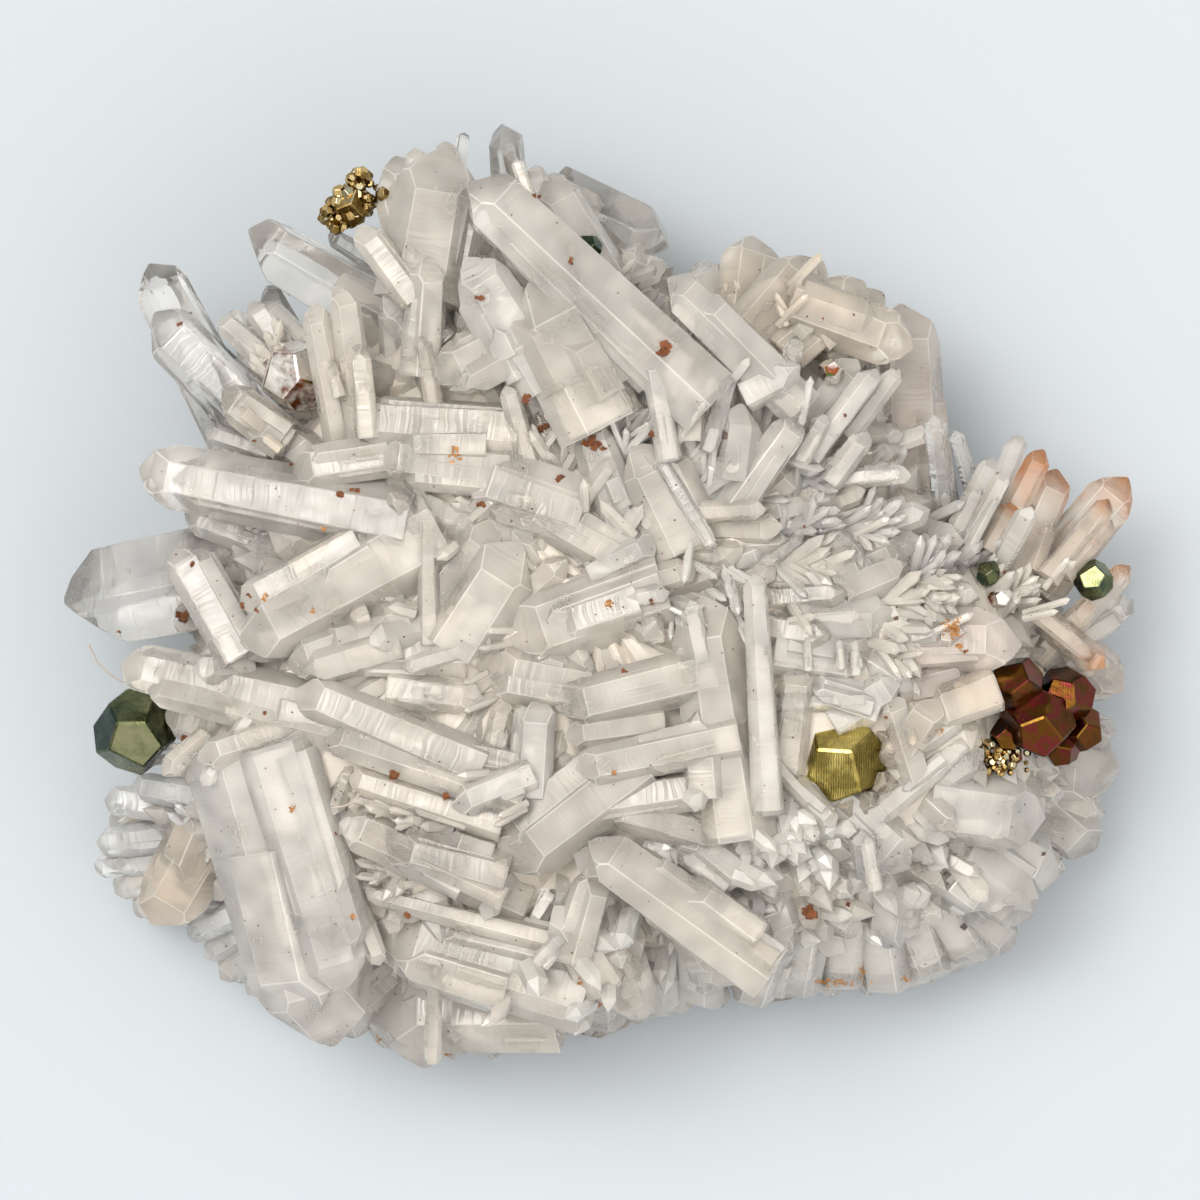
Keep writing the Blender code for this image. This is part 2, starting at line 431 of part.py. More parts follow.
def solid_object(name, body, collection):
    """Stores a bmesh, which is in millimetres, as an object in metres."""
    body.transform(Matrix.Scale(MM, 4))
    mesh = bpy.data.meshes.new(name)
    body.to_mesh(mesh)
    body.free()
    obj = bpy.data.objects.new(name, mesh)
    collection.objects.link(obj)
    return obj


def hidden(obj):
    obj.hide_render = True
    obj.display_type = "WIRE"
    return obj


def boolean(obj, operation, operand):
    modifier = obj.modifiers.new(operation.lower(), "BOOLEAN")
    modifier.operation = operation
    modifier.solver = "EXACT"
    modifier.operand_type = "COLLECTION"
    modifier.collection = operand


def baked(obj):
    """Replaces an object's mesh by its evaluated one and drops the modifiers."""
    bpy.context.view_layer.update()
    graph = bpy.context.evaluated_depsgraph_get()
    mesh = bpy.data.meshes.new_from_object(obj.evaluated_get(graph))
    obj.modifiers.clear()
    obj.data = mesh
    mesh.name = obj.name


def keep_largest_body(obj):
    """Drops the chips that a socket has cut loose from the quartz."""
    body = bmesh.new()
    body.from_mesh(obj.data)
    left, bodies = set(body.verts), []
    while left:
        found, edge = set(), [next(iter(left))]
        while edge:
            vertex = edge.pop()
            if vertex in found:
                continue
            found.add(vertex)
            edge.extend(link.other_vert(vertex) for link in vertex.link_edges)
        left -= found
        bodies.append(found)
    largest = max(bodies, key=len)
    chips = [vertex for vertex in body.verts if vertex not in largest]
    bmesh.ops.delete(body, geom=chips, context="VERTS")
    body.to_mesh(obj.data)
    body.free()


def joined_solid(name, makers, collection, helpers):
    """One object that is the union of what each maker adds to a bmesh."""
    first, *others = makers
    body = bmesh.new()
    first(body)
    obj = solid_object(name, body, collection)
    for k, maker in enumerate(others):
        piece = bmesh.new()
        maker(piece)
        hidden(solid_object(f"{name}_part_{k}", piece, helpers))
    boolean(obj, "UNION", helpers)
    baked(obj)
    for helper in list(helpers.objects):
        bpy.data.objects.remove(helper, do_unlink=True)
    return obj


def host_rock(collection, dice):
    """The grey rock remnant under the quartz: an uneven slab, flat below, that shows along the front."""
    slab = bmesh.new()
    rings = []
    for share, height in ROCK_PROFILE:
        ring = []
        for x, y in ROCK_OUTLINE:
            rough = dice.uniform(-0.02, 0.02) if share < 1 else 0.0
            ring.append(slab.verts.new((x * (share + rough), y * (share + rough), height)))
        rings.append(ring)
    for lower, upper in zip(rings, rings[1:]):
        for k in range(len(ROCK_OUTLINE)):
            after = (k + 1) % len(ROCK_OUTLINE)
            slab.faces.new((lower[k], lower[after], upper[after], upper[k]))
    slab.faces.new(reversed(rings[0]))
    slab.faces.new(rings[-1])
    return solid_object("host_rock", slab, collection)


def rock_cutter(collection):
    """Everything below the quartz's flat base, for crystals that would reach down past it."""
    block = bmesh.new()
    bmesh.ops.create_cube(block, size=1.0)
    for vertex in block.verts:
        x, y, z = vertex.co
        vertex.co = (x * 2 * PLATE_LENGTH, y * 2 * PLATE_WIDTH, ROCK_TOP + GAP if z > 0 else -20)
    hidden(solid_object("rock_cutter", block, collection))


def centre_on_origin(objects):
    """Moves the whole specimen sideways until the middle of its extent is over the origin."""
    low, high = Vector((1, 1, 1)), Vector((-1, -1, -1))
    for obj in objects:
        for vertex in obj.data.vertices:
            low = Vector(map(min, low, vertex.co))
            high = Vector(map(max, high, vertex.co))
    middle = (low + high) / 2
    for obj in objects:
        obj.data.transform(Matrix.Translation((-middle.x, -middle.y, 0)))


def main():
    clear_scene()
    specimen = new_collection("rainbow_pyrite_on_quartz")
    helpers = new_collection("helpers")
    helpers.hide_render = True
    dice = random.Random(SEED)
    quartz = material("quartz_milky", (0.78, 0.76, 0.72), 0.25, 0.0)
    brass = material("pyrite_tarnished", (0.55, 0.42, 0.16), 0.3, 1.0)
    grey = material("rock_grey", (0.23, 0.22, 0.21), 0.85, 0.0)

    grown = NAMED_CRYSTALS + list(skirt_crystals(dice))
    makers = [lambda body: quartz_mound(body, dice)]
    makers += [lambda body, row=row: quartz_crystal(body, row, dice) for row in grown]
    cluster = joined_solid("quartz_cluster", makers, specimen, helpers)

    groups = {name: [row] for name, row in PYRITE_SINGLES.items()}
    groups.update(PYRITE_GROUPS)
    groups["pyrite_top_druse"] = list(druse_grains(dice))
    for name, rows in groups.items():
        makers = [lambda body, row=row: pyritohedron(body, row) for row in rows]
        joined_solid(name, makers, specimen, helpers).data.materials.append(brass)

    rock_cutter(helpers)
    for name, rows in groups.items():
        for k, row in enumerate(rows):
            socket = bmesh.new()
            pyritohedron(socket, row, GAP)
            hidden(solid_object(f"socket_{name}_{k}", socket, helpers))
    boolean(cluster, "DIFFERENCE", helpers)
    baked(cluster)
    keep_largest_body(cluster)
    for helper in list(helpers.objects):
        bpy.data.objects.remove(helper, do_unlink=True)
    cluster.data.materials.clear()
    cluster.data.materials.append(quartz)
    host_rock(specimen, dice).data.materials.append(grey)
    centre_on_origin(list(specimen.objects))


main()
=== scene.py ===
"""Look model of a quartz plate set with tarnished pyrite.

The tables are in millimetres in the frame of the CAD part; every mesh is scaled to metres at the
end. A place in the photograph is a pixel of its 1200 x 1200 picture, ten pixels to a millimetre.
"""

import math
import random
from collections import namedtuple

import bmesh
import bpy
from mathutils import Matrix, Vector, noise
from mathutils.bvhtree import BVHTree


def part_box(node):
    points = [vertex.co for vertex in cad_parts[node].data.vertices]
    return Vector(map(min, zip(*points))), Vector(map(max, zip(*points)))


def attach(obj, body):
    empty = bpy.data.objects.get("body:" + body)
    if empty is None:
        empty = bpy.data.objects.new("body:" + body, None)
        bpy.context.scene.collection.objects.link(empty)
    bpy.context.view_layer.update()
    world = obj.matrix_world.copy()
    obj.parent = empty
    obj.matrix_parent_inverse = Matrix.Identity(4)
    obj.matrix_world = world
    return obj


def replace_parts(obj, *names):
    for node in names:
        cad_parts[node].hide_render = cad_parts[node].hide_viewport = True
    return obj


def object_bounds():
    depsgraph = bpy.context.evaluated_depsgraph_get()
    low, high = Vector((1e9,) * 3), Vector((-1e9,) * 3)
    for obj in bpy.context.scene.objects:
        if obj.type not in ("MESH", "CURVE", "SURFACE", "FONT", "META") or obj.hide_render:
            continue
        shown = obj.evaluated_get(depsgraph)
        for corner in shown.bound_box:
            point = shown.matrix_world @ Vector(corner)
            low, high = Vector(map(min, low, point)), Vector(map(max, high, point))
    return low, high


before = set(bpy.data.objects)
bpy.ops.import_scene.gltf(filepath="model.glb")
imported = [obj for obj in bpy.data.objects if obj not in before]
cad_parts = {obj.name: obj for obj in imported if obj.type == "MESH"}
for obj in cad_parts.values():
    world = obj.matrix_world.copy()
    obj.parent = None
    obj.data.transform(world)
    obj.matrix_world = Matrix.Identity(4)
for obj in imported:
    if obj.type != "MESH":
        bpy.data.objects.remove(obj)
CAD_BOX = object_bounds()

MM = 0.001
PIXELS_PER_MM = 10.0
PICTURE_MIDDLE = 600.0
ROCK_TOP = 6.0
GAP = 0.3
BOX_MARGIN = 0.05
MOUND_SHARE = 0.90
MOUND_TINT = (0.64, 0.585, 0.51)
POINT_ANGLE = math.radians(51.8)
TAPER = math.radians(1.2)
BEVEL = 0.10
BEVEL_SHARE = 0.03
PYRITE_BEVEL_SHARE = 0.05
SEED = 7

# A quartz crystal's lean, sides and faces of the point, as shares of its half width
POINT_LEAN = 0.15
SIDE_RANGE = (0.88, 1.08)
SMALL_FACE_RANGE = (0.14, 0.40)
LARGE_FACE_RANGE = (0.0, 0.06)
# How ragged a cloudy core is across and along
CORE_RAGGED = (0.22, 0.16)

# Spreads the film colours over the faces of a pyrite by the way they face
FILM_MIX = Vector((12.9, 7.8, 3.7))

Crystal = namedtuple("Crystal", "name look tip root width depth roll", defaults=(0,))
Pyrite = namedtuple("Pyrite", "centre inradius lean turn")

# The edge of the grown mass seen from above, and the mound's height from its middle to its rim
OUTLINE = [
    (-45, 0), (-43.5, -9), (-46, -16), (-49, -25), (-44, -30), (-38.5, -35), (-33, -39.5), (-26, -43),
    (-18, -45), (-10, -44), (-2, -42.5), (6, -41), (15, -39.5), (25, -38.5), (34, -37), (41, -33.5),
    (46, -28), (50, -22), (51, -16), (50, -8), (48, 0), (44, 6), (38.5, 11), (34.5, 17), (33, 24), (27, 29),
    (18, 32.5), (10, 33), (4, 36.5), (-2, 40), (-10, 42), (-18, 42.5), (-24, 37), (-30, 32), (-35, 26),
    (-38, 18), (-41, 11), (-44, 6),
]
MOUND_PROFILE = [(0.0, 32.0), (0.32, 31.6), (0.58, 30.4), (0.78, 27.5), (0.92, 21.5), (1.0, 13.5)]
MOUND_UNDERCUT = [(0.98, 9.5), (0.92, ROCK_TOP + GAP)]
MOUND_SIDES = 64
# How rough the mound is outward and upward
MOUND_ROUGH = (0.7, 0.8)

# Rows for Crystal. Tip and root are the ends of the axis, width is across it seen from above,
# depth is through it, and roll, in degrees, is given only where the crystal is turned
UPPER_LEFT = [
    ("spire_outer", "clear", (-45.2, 33.8, 17), (-33.6, 11.4, 21), 6.2, 5, 10),
    ("spire_inner", "clear", (-44.9, 28.6, 20), (-31.6, 15.6, 23), 6.4, 4.6),
    ("nub_high", "clear", (-33.2, 31.1, 22), (-30.6, 26, 23), 2.6, 2.4),
    ("shoulder_block", "smoky", (-35.3, 36.6, 24), (-20.8, 28.2, 28), 6.8, 5.6, 20),
    ("shoulder_sliver", "clear", (-27, 36.3, 27), (-20.4, 32.4, 28), 2.2, 1.8),
    ("twin_a", "milk", (-28.4, 29.4, 31.8), (-25.6, 15, 31.2), 3.4, 3),
    ("twin_b", "milk", (-25.4, 31, 32.4), (-23.6, 15.6, 31.8), 3.8, 3.4, 15),
    ("shelf_wide", "grey", (-37.8, 20.8, 25), (-27.8, 13.4, 28), 4.8, 3.6),
    ("shelf_thin", "cream", (-36, 19, 28), (-29, 13.2, 30), 2, 2, 15),
    ("hollow_wall", "white", (-21.6, 30.4, 30.6), (-15.8, 24.4, 31.2), 5, 4, 15),
]
LEFT = [
    ("big_arm", "glassy", (-45.9, 13.1, 25), (-18.5, 7.8, 30.6), 7.7, 6.4),
    ("big_arm_ledge", "glassy", (-41.6, 8.9, 21), (-29.4, 4.6, 25), 4.2, 3.4),
    ("smoky_arm", "smoky", (-53.9, -0.4, 13), (-29, 4.4, 20), 11.6, 8.4, 30),
    ("framed_block", "glassy", (-42.1, 5.2, 27), (-35.6, -5.8, 29), 4.9, 3.6),
    ("left_bar_top", "milk", (-47.8, -6.3, 24), (-25, -11.4, 30), 5.6, 4.6),
    ("left_bar_low", "milk", (-45, -8.8, 26), (-25, -13.4, 30.6), 3.8, 3.4, 20),
    ("left_bar_back", "milk", (-43.6, -11.6, 21), (-29, -15.2, 27), 5, 4.6),
    ("socket_finger", "clear", (-48.2, -16.2, 18), (-37.4, -14.4, 22), 2.5, 2.4, 30),
    ("sugar_a", "blue", (-50, -20, 13), (-41, -21, 16), 3.6, 3, 10),
    ("sugar_b", "blue", (-51, -24.4, 11), (-41, -23.5, 14), 3.8, 3.2),
    ("sugar_d", "blue", (-47, -18.6, 16), (-40, -19.8, 19), 3.4, 3),
    ("sand_prism", "sand", (-44.8, -32.8, 15), (-38.8, -22.6, 19), 7.6, 5.6),
    ("sugar_f", "blue", (-40.2, -36, 9.6), (-32, -31, 13), 3.4, 3),
]
LOWER_LEFT = [
    ("tabular_giant", "white", (-27, -44.6, 22), (-35.2, -13.6, 27), 13.4, 9.4),
    ("tabular_rider", "white", (-25.4, -38.8, 28), (-32.6, -14.2, 30.6), 7, 5.4),
    ("giant_foot", "milk", (-31, -41, 16), (-34, -28, 20), 7, 6, 15),
    ("front_slab", "milk", (-22.8, -32.2, 24), (-1, -38.6, 26), 9.4, 7),
    ("front_base", "milk", (-22, -41.2, 15), (-4, -40.6, 19), 9.4, 8, 10),
    ("front_chin", "milk", (-18.4, -47.4, 10), (-16.6, -37, 15), 8.6, 7),
    ("front_post", "milk", (-16.3, -36.4, 28), (-16.8, -46, 19), 1.8, 1.8),
    ("slab_lip", "milk", (-23.4, -29.2, 28.4), (-1.5, -34.8, 29), 2.6, 2.2, 15),
    ("bar_long", "grey", (-25.8, -22, 31.2), (-7.4, -30.2, 31.8), 4.8, 4, 10),
    ("bar_upper", "milk", (-27.4, -13.4, 31.2), (-7.6, -19.8, 32.4), 4.4, 3.6, 20),
    ("bar_mid", "milk", (-25, -17.6, 30.6), (-9.6, -22.4, 31.8), 3.2, 3),
    ("bar_high", "milk", (-30.2, -8.8, 31.2), (-11.6, -16.8, 31.8), 5.2, 4),
    ("bright_end", "white", (-14.7, -20.4, 33.6), (-6.6, -17.2, 33), 3.9, 3.4),
    ("grey_slope", "grey", (-9.8, -26.6, 30.6), (4.2, -15.8, 31.8), 7.8, 5.2),
]
CENTRE = [
    ("milk_plate", "milk", (-35.8, -4.2, 30), (-15.6, 6.8, 31.2), 8.8, 5.6),
    ("grey_pane", "grey", (-9.8, 7.6, 31.2), (-16.4, -0.4, 30.6), 6, 4.4),
    ("pale_shield", "milk", (-7.8, 5.8, 32.4), (-14.8, -5.2, 31.8), 7.2, 4.6),
    ("cross_slab", "milk", (-9.8, -4.2, 31.2), (6.4, 1.4, 31.8), 8.4, 5.4),
    ("cross_bar", "milk", (-4.4, -10.9, 32.8), (11.4, -7, 33), 5.8, 4.4),
    ("bright_bar", "milk", (-2.4, -16.9, 33.8), (13.8, -13.6, 34), 4.6, 3.8),
    ("under_bar", "milk", (-4, -21, 31.8), (12.6, -18.4, 32.4), 4.4, 3.8, 15),
    ("tall_blade", "white", (15.2, 2.6, 35.6), (16.6, -21.2, 33.6), 3.1, 3.6, 15),
    ("wide_face", "milk", (9.8, 0.4, 33), (13.4, -23.8, 31.8), 8.2, 5.6),
    ("saddle_left", "milk", (-13.4, 12.4, 32), (-1.8, 8.6, 32), 6.8, 4.4),
    ("saddle_mid", "milk", (3.4, 15.6, 32.4), (8.6, 5, 31.6), 7.6, 4.6, 15),
    ("saddle_right", "milk", (31.6, 5.2, 27), (21.4, 0.4, 30), 7.6, 4.6),
    ("fang", "white", (8.8, 0, 35.5), (10.2, -6, 34.2), 2.4, 2.2),
    ("low_blade", "milk", (-1.2, -24, 32.4), (16.8, -37, 30.4), 6.4, 5.4, 30),
    ("low_blade_foot", "milk", (14.2, -38.8, 22), (8.6, -29, 27), 7.2, 6),
    ("front_mid_a", "milk", (-4.6, -30.2, 31), (0.6, -38.6, 28), 4.6, 4, 10),
    ("front_mid_b", "milk", (-0.2, -26.4, 31.2), (-2.8, -36, 30), 4.2, 4, 25),
    ("front_mid_c", "milk", (3.8, -42, 22), (0.6, -32.6, 28), 6.2, 5),
]
TOP = [
    ("white_plate", "white", (-13.3, 33.8, 34.2), (-5.2, 21, 33.4), 6.6, 4),
    ("fan_plate", "milk", (-7.2, 31.4, 34.4), (0.2, 17, 33.6), 8.8, 5, 15),
    ("side_plate", "milk", (-16.5, 21.9, 32.8), (-5.8, 27.2, 33.4), 5.6, 4),
    ("upright", "milk", (-16.8, 34, 32.8), (-17.6, 22.2, 31.8), 4.6, 3.8, 20),
    ("leaning", "milk", (-23.8, 37.2, 31.6), (-18.2, 29.6, 32.4), 3.7, 3),
    ("lintel", "milk", (-24.6, 17.6, 31.2), (-8, 16.4, 31.8), 6, 4.4, 15),
    ("crest", "milk", (-15, 45, 27), (-17.6, 29.4, 30), 9.6, 7.2),
    ("crest_left", "milk", (-20.6, 44.2, 25), (-17.4, 33, 28), 5.8, 5, 25),
    ("crest_nub_b", "milk", (-15.3, 45.8, 24), (-15, 40, 26), 3, 2.6, 15),
    ("crest_needle", "clear", (-13.6, 46.8, 22), (-15.2, 38, 25), 1.7, 1.6),
    ("great_blade", "glassy", (-12.9, 41.4, 34.2), (10.8, 19.2, 32.8), 7.5, 6, 35),
    ("second_blade", "glassy", (6.4, 31.6, 33.4), (20, 18.6, 32.2), 5.1, 4.4, 30),
    ("top_thumb", "clear", (-9.5, 47.2, 25), (-8.8, 37.2, 29), 4.2, 4, 15),
    ("top_bar", "milk", (-9.1, 44.6, 29.6), (-7.3, 39.4, 30.2), 1.9, 1.8),
    ("grey_back", "smoky", (6.9, 34.9, 18), (-4.8, 40.4, 23), 7.6, 6.4, 20),
    ("back_tooth_b", "glassy", (-4.6, 42.9, 19), (-3.4, 38, 22), 2.4, 2.2, 20),
    ("back_panel", "glassy", (-5.4, 42, 24), (0.6, 31.6, 25), 5.4, 4.4, 10),
    ("back_sill", "glassy", (6.7, 33.6, 23), (-0.6, 30.8, 27), 3.4, 3.4),
    ("back_low", "glassy", (3.4, 38.6, 10), (-2, 32, 14), 6, 6),
]
UPPER_RIGHT = [
    ("peak", "cream", (15.2, 36.5, 20), (13.8, 26.6, 25), 6.6, 5.6, 25),
    ("saddle", "milk", (10, 34, 19), (12.8, 27.6, 24), 5.4, 4.6),
    ("cream_a", "cream", (21.9, 34.2, 24), (14.4, 25.2, 27.6), 6.6, 5.2),
    ("cream_b", "cream", (26.4, 31.8, 25), (17.6, 24.4, 28.4), 6, 4.8, 15),
    ("cream_c", "cream", (31.2, 25.2, 27), (18.8, 29.8, 28.6), 6.4, 5),
    ("cream_d", "cream", (28.4, 30.6, 22), (21.6, 24.6, 25), 4.8, 4.4),
    ("tall_right", "pink", (30.4, 29.9, 15), (31.2, 9.2, 17), 7.8, 6.6, 10),
    ("fan_bright", "white", (27.4, 23, 30.6), (20.8, 14.2, 30), 2.8, 2.6, 20),
    ("fan_broad", "glassy", (25.6, 24, 28), (19.6, 16.6, 29), 3.6, 3),
    ("fan_grey", "glassy", (29.7, 23, 27.4), (24.6, 16.2, 27.6), 2.4, 2.2),
    ("fan_side", "white", (30.9, 12.5, 30), (24, 12, 28.6), 2.2, 2.2),
    ("white_splinter", "white", (5.1, 24, 35), (6.9, 13.8, 33.6), 2.7, 2.4, 10),
    ("clear_splinter", "clear", (12.9, 22.2, 34.8), (10.7, 14.6, 33.6), 2, 2, 25),
    ("mid_block", "glassy", (14.2, 19.4, 33.8), (13.2, 12, 32.8), 4.8, 4),
    ("mid_lath", "glassy", (19.6, 18.2, 33.4), (12.8, 8.6, 32.8), 3.8, 3.2, 15),
    ("needle_b", "clear", (28.2, 2.1, 30), (20.6, 9.4, 30), 1.8, 1.7),
    ("needle_c", "clear", (20.2, 6.6, 31.4), (14.2, 2.2, 30.6), 2, 1.8, 10),
]
RIGHT = [
    ("lance_a", "clear", (33.3, 18.5, 26), (34.9, 7.4, 25), 2.8, 2.4),
    ("lance_b", "clear", (35.4, 17, 25), (39.4, 4.8, 25), 2, 1.9),
    ("finger_a", "glassy", (39.4, 14.2, 22), (34.8, 5, 23), 2.6, 2.4, 10),
    ("finger_b", "glassy", (40.5, 12.8, 24), (35.6, 3.6, 24), 2, 1.9),
    ("finger_round", "glassy", (42.3, 16.5, 15), (37.6, 4.6, 19), 2.6, 2.4),
    ("rust_a", "rust", (44.4, 15.1, 20), (38.2, 3, 22), 3, 2.8),
    ("rust_b", "rust", (46, 13.2, 16.6), (40.4, 0.4, 20), 4.8, 4.2, 15),
    ("finger_white", "white", (42.9, 9.4, 26), (39.3, 2.2, 26), 2.6, 2.4),
    ("rust_c", "rust", (53.3, 12.3, 15), (44.2, 1.2, 20), 5.6, 4.6),
    ("rust_d", "rust", (53.4, 3.4, 16), (44, -6, 20), 2.9, 2.8),
    ("grey_thumb", "glassy", (54, 0, 11), (44.6, -5.8, 16), 3.4, 3.2, 20),
    ("rust_e", "rust", (50.6, -6.9, 21), (43.2, -0.8, 24), 3.3, 3),
    ("pink_lobe", "pink", (52.9, -9, 12.6), (47, -4.6, 17), 4.8, 4.2),
    ("smoky_flank", "glassy", (52.8, -17.4, 8), (43, -16.6, 11), 11, 7.4),
    ("smoky_toe", "glassy", (50.2, -25.4, 7), (42, -18.6, 11), 6.4, 5.6, 15),
    ("pink_plate", "pink", (41.9, -4.2, 29), (30.2, -4, 29), 6.8, 4.8),
    ("pink_plate_low", "pink", (38.8, -6.9, 26), (29.4, -9.4, 27.6), 6.2, 5, 15),
    ("striped_bar", "white", (26.7, -22, 30), (36, -14.4, 28), 2.9, 2.8),
    ("sand_bar", "cream", (28.2, -14.4, 28), (36.6, -8.8, 27), 4, 3.6, 10),
    ("cross_peg", "milk", (23.4, -22.4, 31.4), (16.8, -15.8, 31.8), 2.7, 2.6),
    ("neat_prism", "glassy", (25.7, -22.9, 31.8), (26.7, -30.4, 30.4), 2.8, 2.6),
    ("mid_boulder", "white", (30.8, -26.8, 27), (23.4, -20.4, 28), 6.4, 5),
    ("milk_lobe_a", "white", (44.6, -21.4, 22), (32.4, -19.8, 25), 8.2, 6.4, 10),
    ("milk_lobe_b", "white", (46.2, -27.6, 15), (36.6, -23, 19), 6.6, 6),
    ("milk_lobe_c", "white", (43.4, -31.6, 16), (35.4, -25.4, 21), 7.4, 6, 20),
]
# The chunky teeth along the front edge, from right to left
FRONT_TEETH = [
    ("tooth_a", "white", (41.8, -35, 10.4), (35.2, -29.4, 15), 5.2, 5),
    ("tooth_b", "white", (38.4, -36.9, 10.4), (33.6, -29.4, 16), 5.8, 5, 15),
    ("tooth_c", "white", (33.9, -38.6, 9.4), (30.8, -30.4, 17), 6, 5.4),
    ("tooth_d", "white", (29.3, -39.9, 9.4), (27.8, -32, 17), 5.6, 5.2, 20),
    ("tooth_e", "white", (24.5, -39.4, 10.4), (24.6, -32, 19), 5.4, 5),
    ("tooth_f", "white", (19.8, -40.1, 10.4), (20.8, -32.6, 20), 5.2, 5, 10),
    ("tooth_g", "white", (15.4, -40.4, 10.4), (17.4, -33.4, 21), 6, 5.6),
    ("tooth_h", "white", (10, -41.2, 9.4), (9.8, -33.4, 19), 6.2, 5.6, 25),
    ("tooth_i", "white", (5.3, -42.6, 9.4), (4.8, -35.4, 18), 6.6, 5.8),
    ("tooth_j", "white", (-0.2, -43.7, 9.4), (0, -36.4, 18), 7, 6, 10),
    ("tooth_k", "white", (-6, -44.6, 9.4), (-6.2, -37.4, 17), 7, 6),
    ("tooth_l", "white", (-12, -46, 9.4), (-11, -38.4, 16), 6.8, 6, 20),
    ("lump_white", "white", (18.6, -36.6, 21), (16.6, -31, 24), 5, 4.6),
    ("lump_right", "white", (28.8, -34.8, 19), (29.6, -28.6, 23), 5.2, 4.6, 15),
]

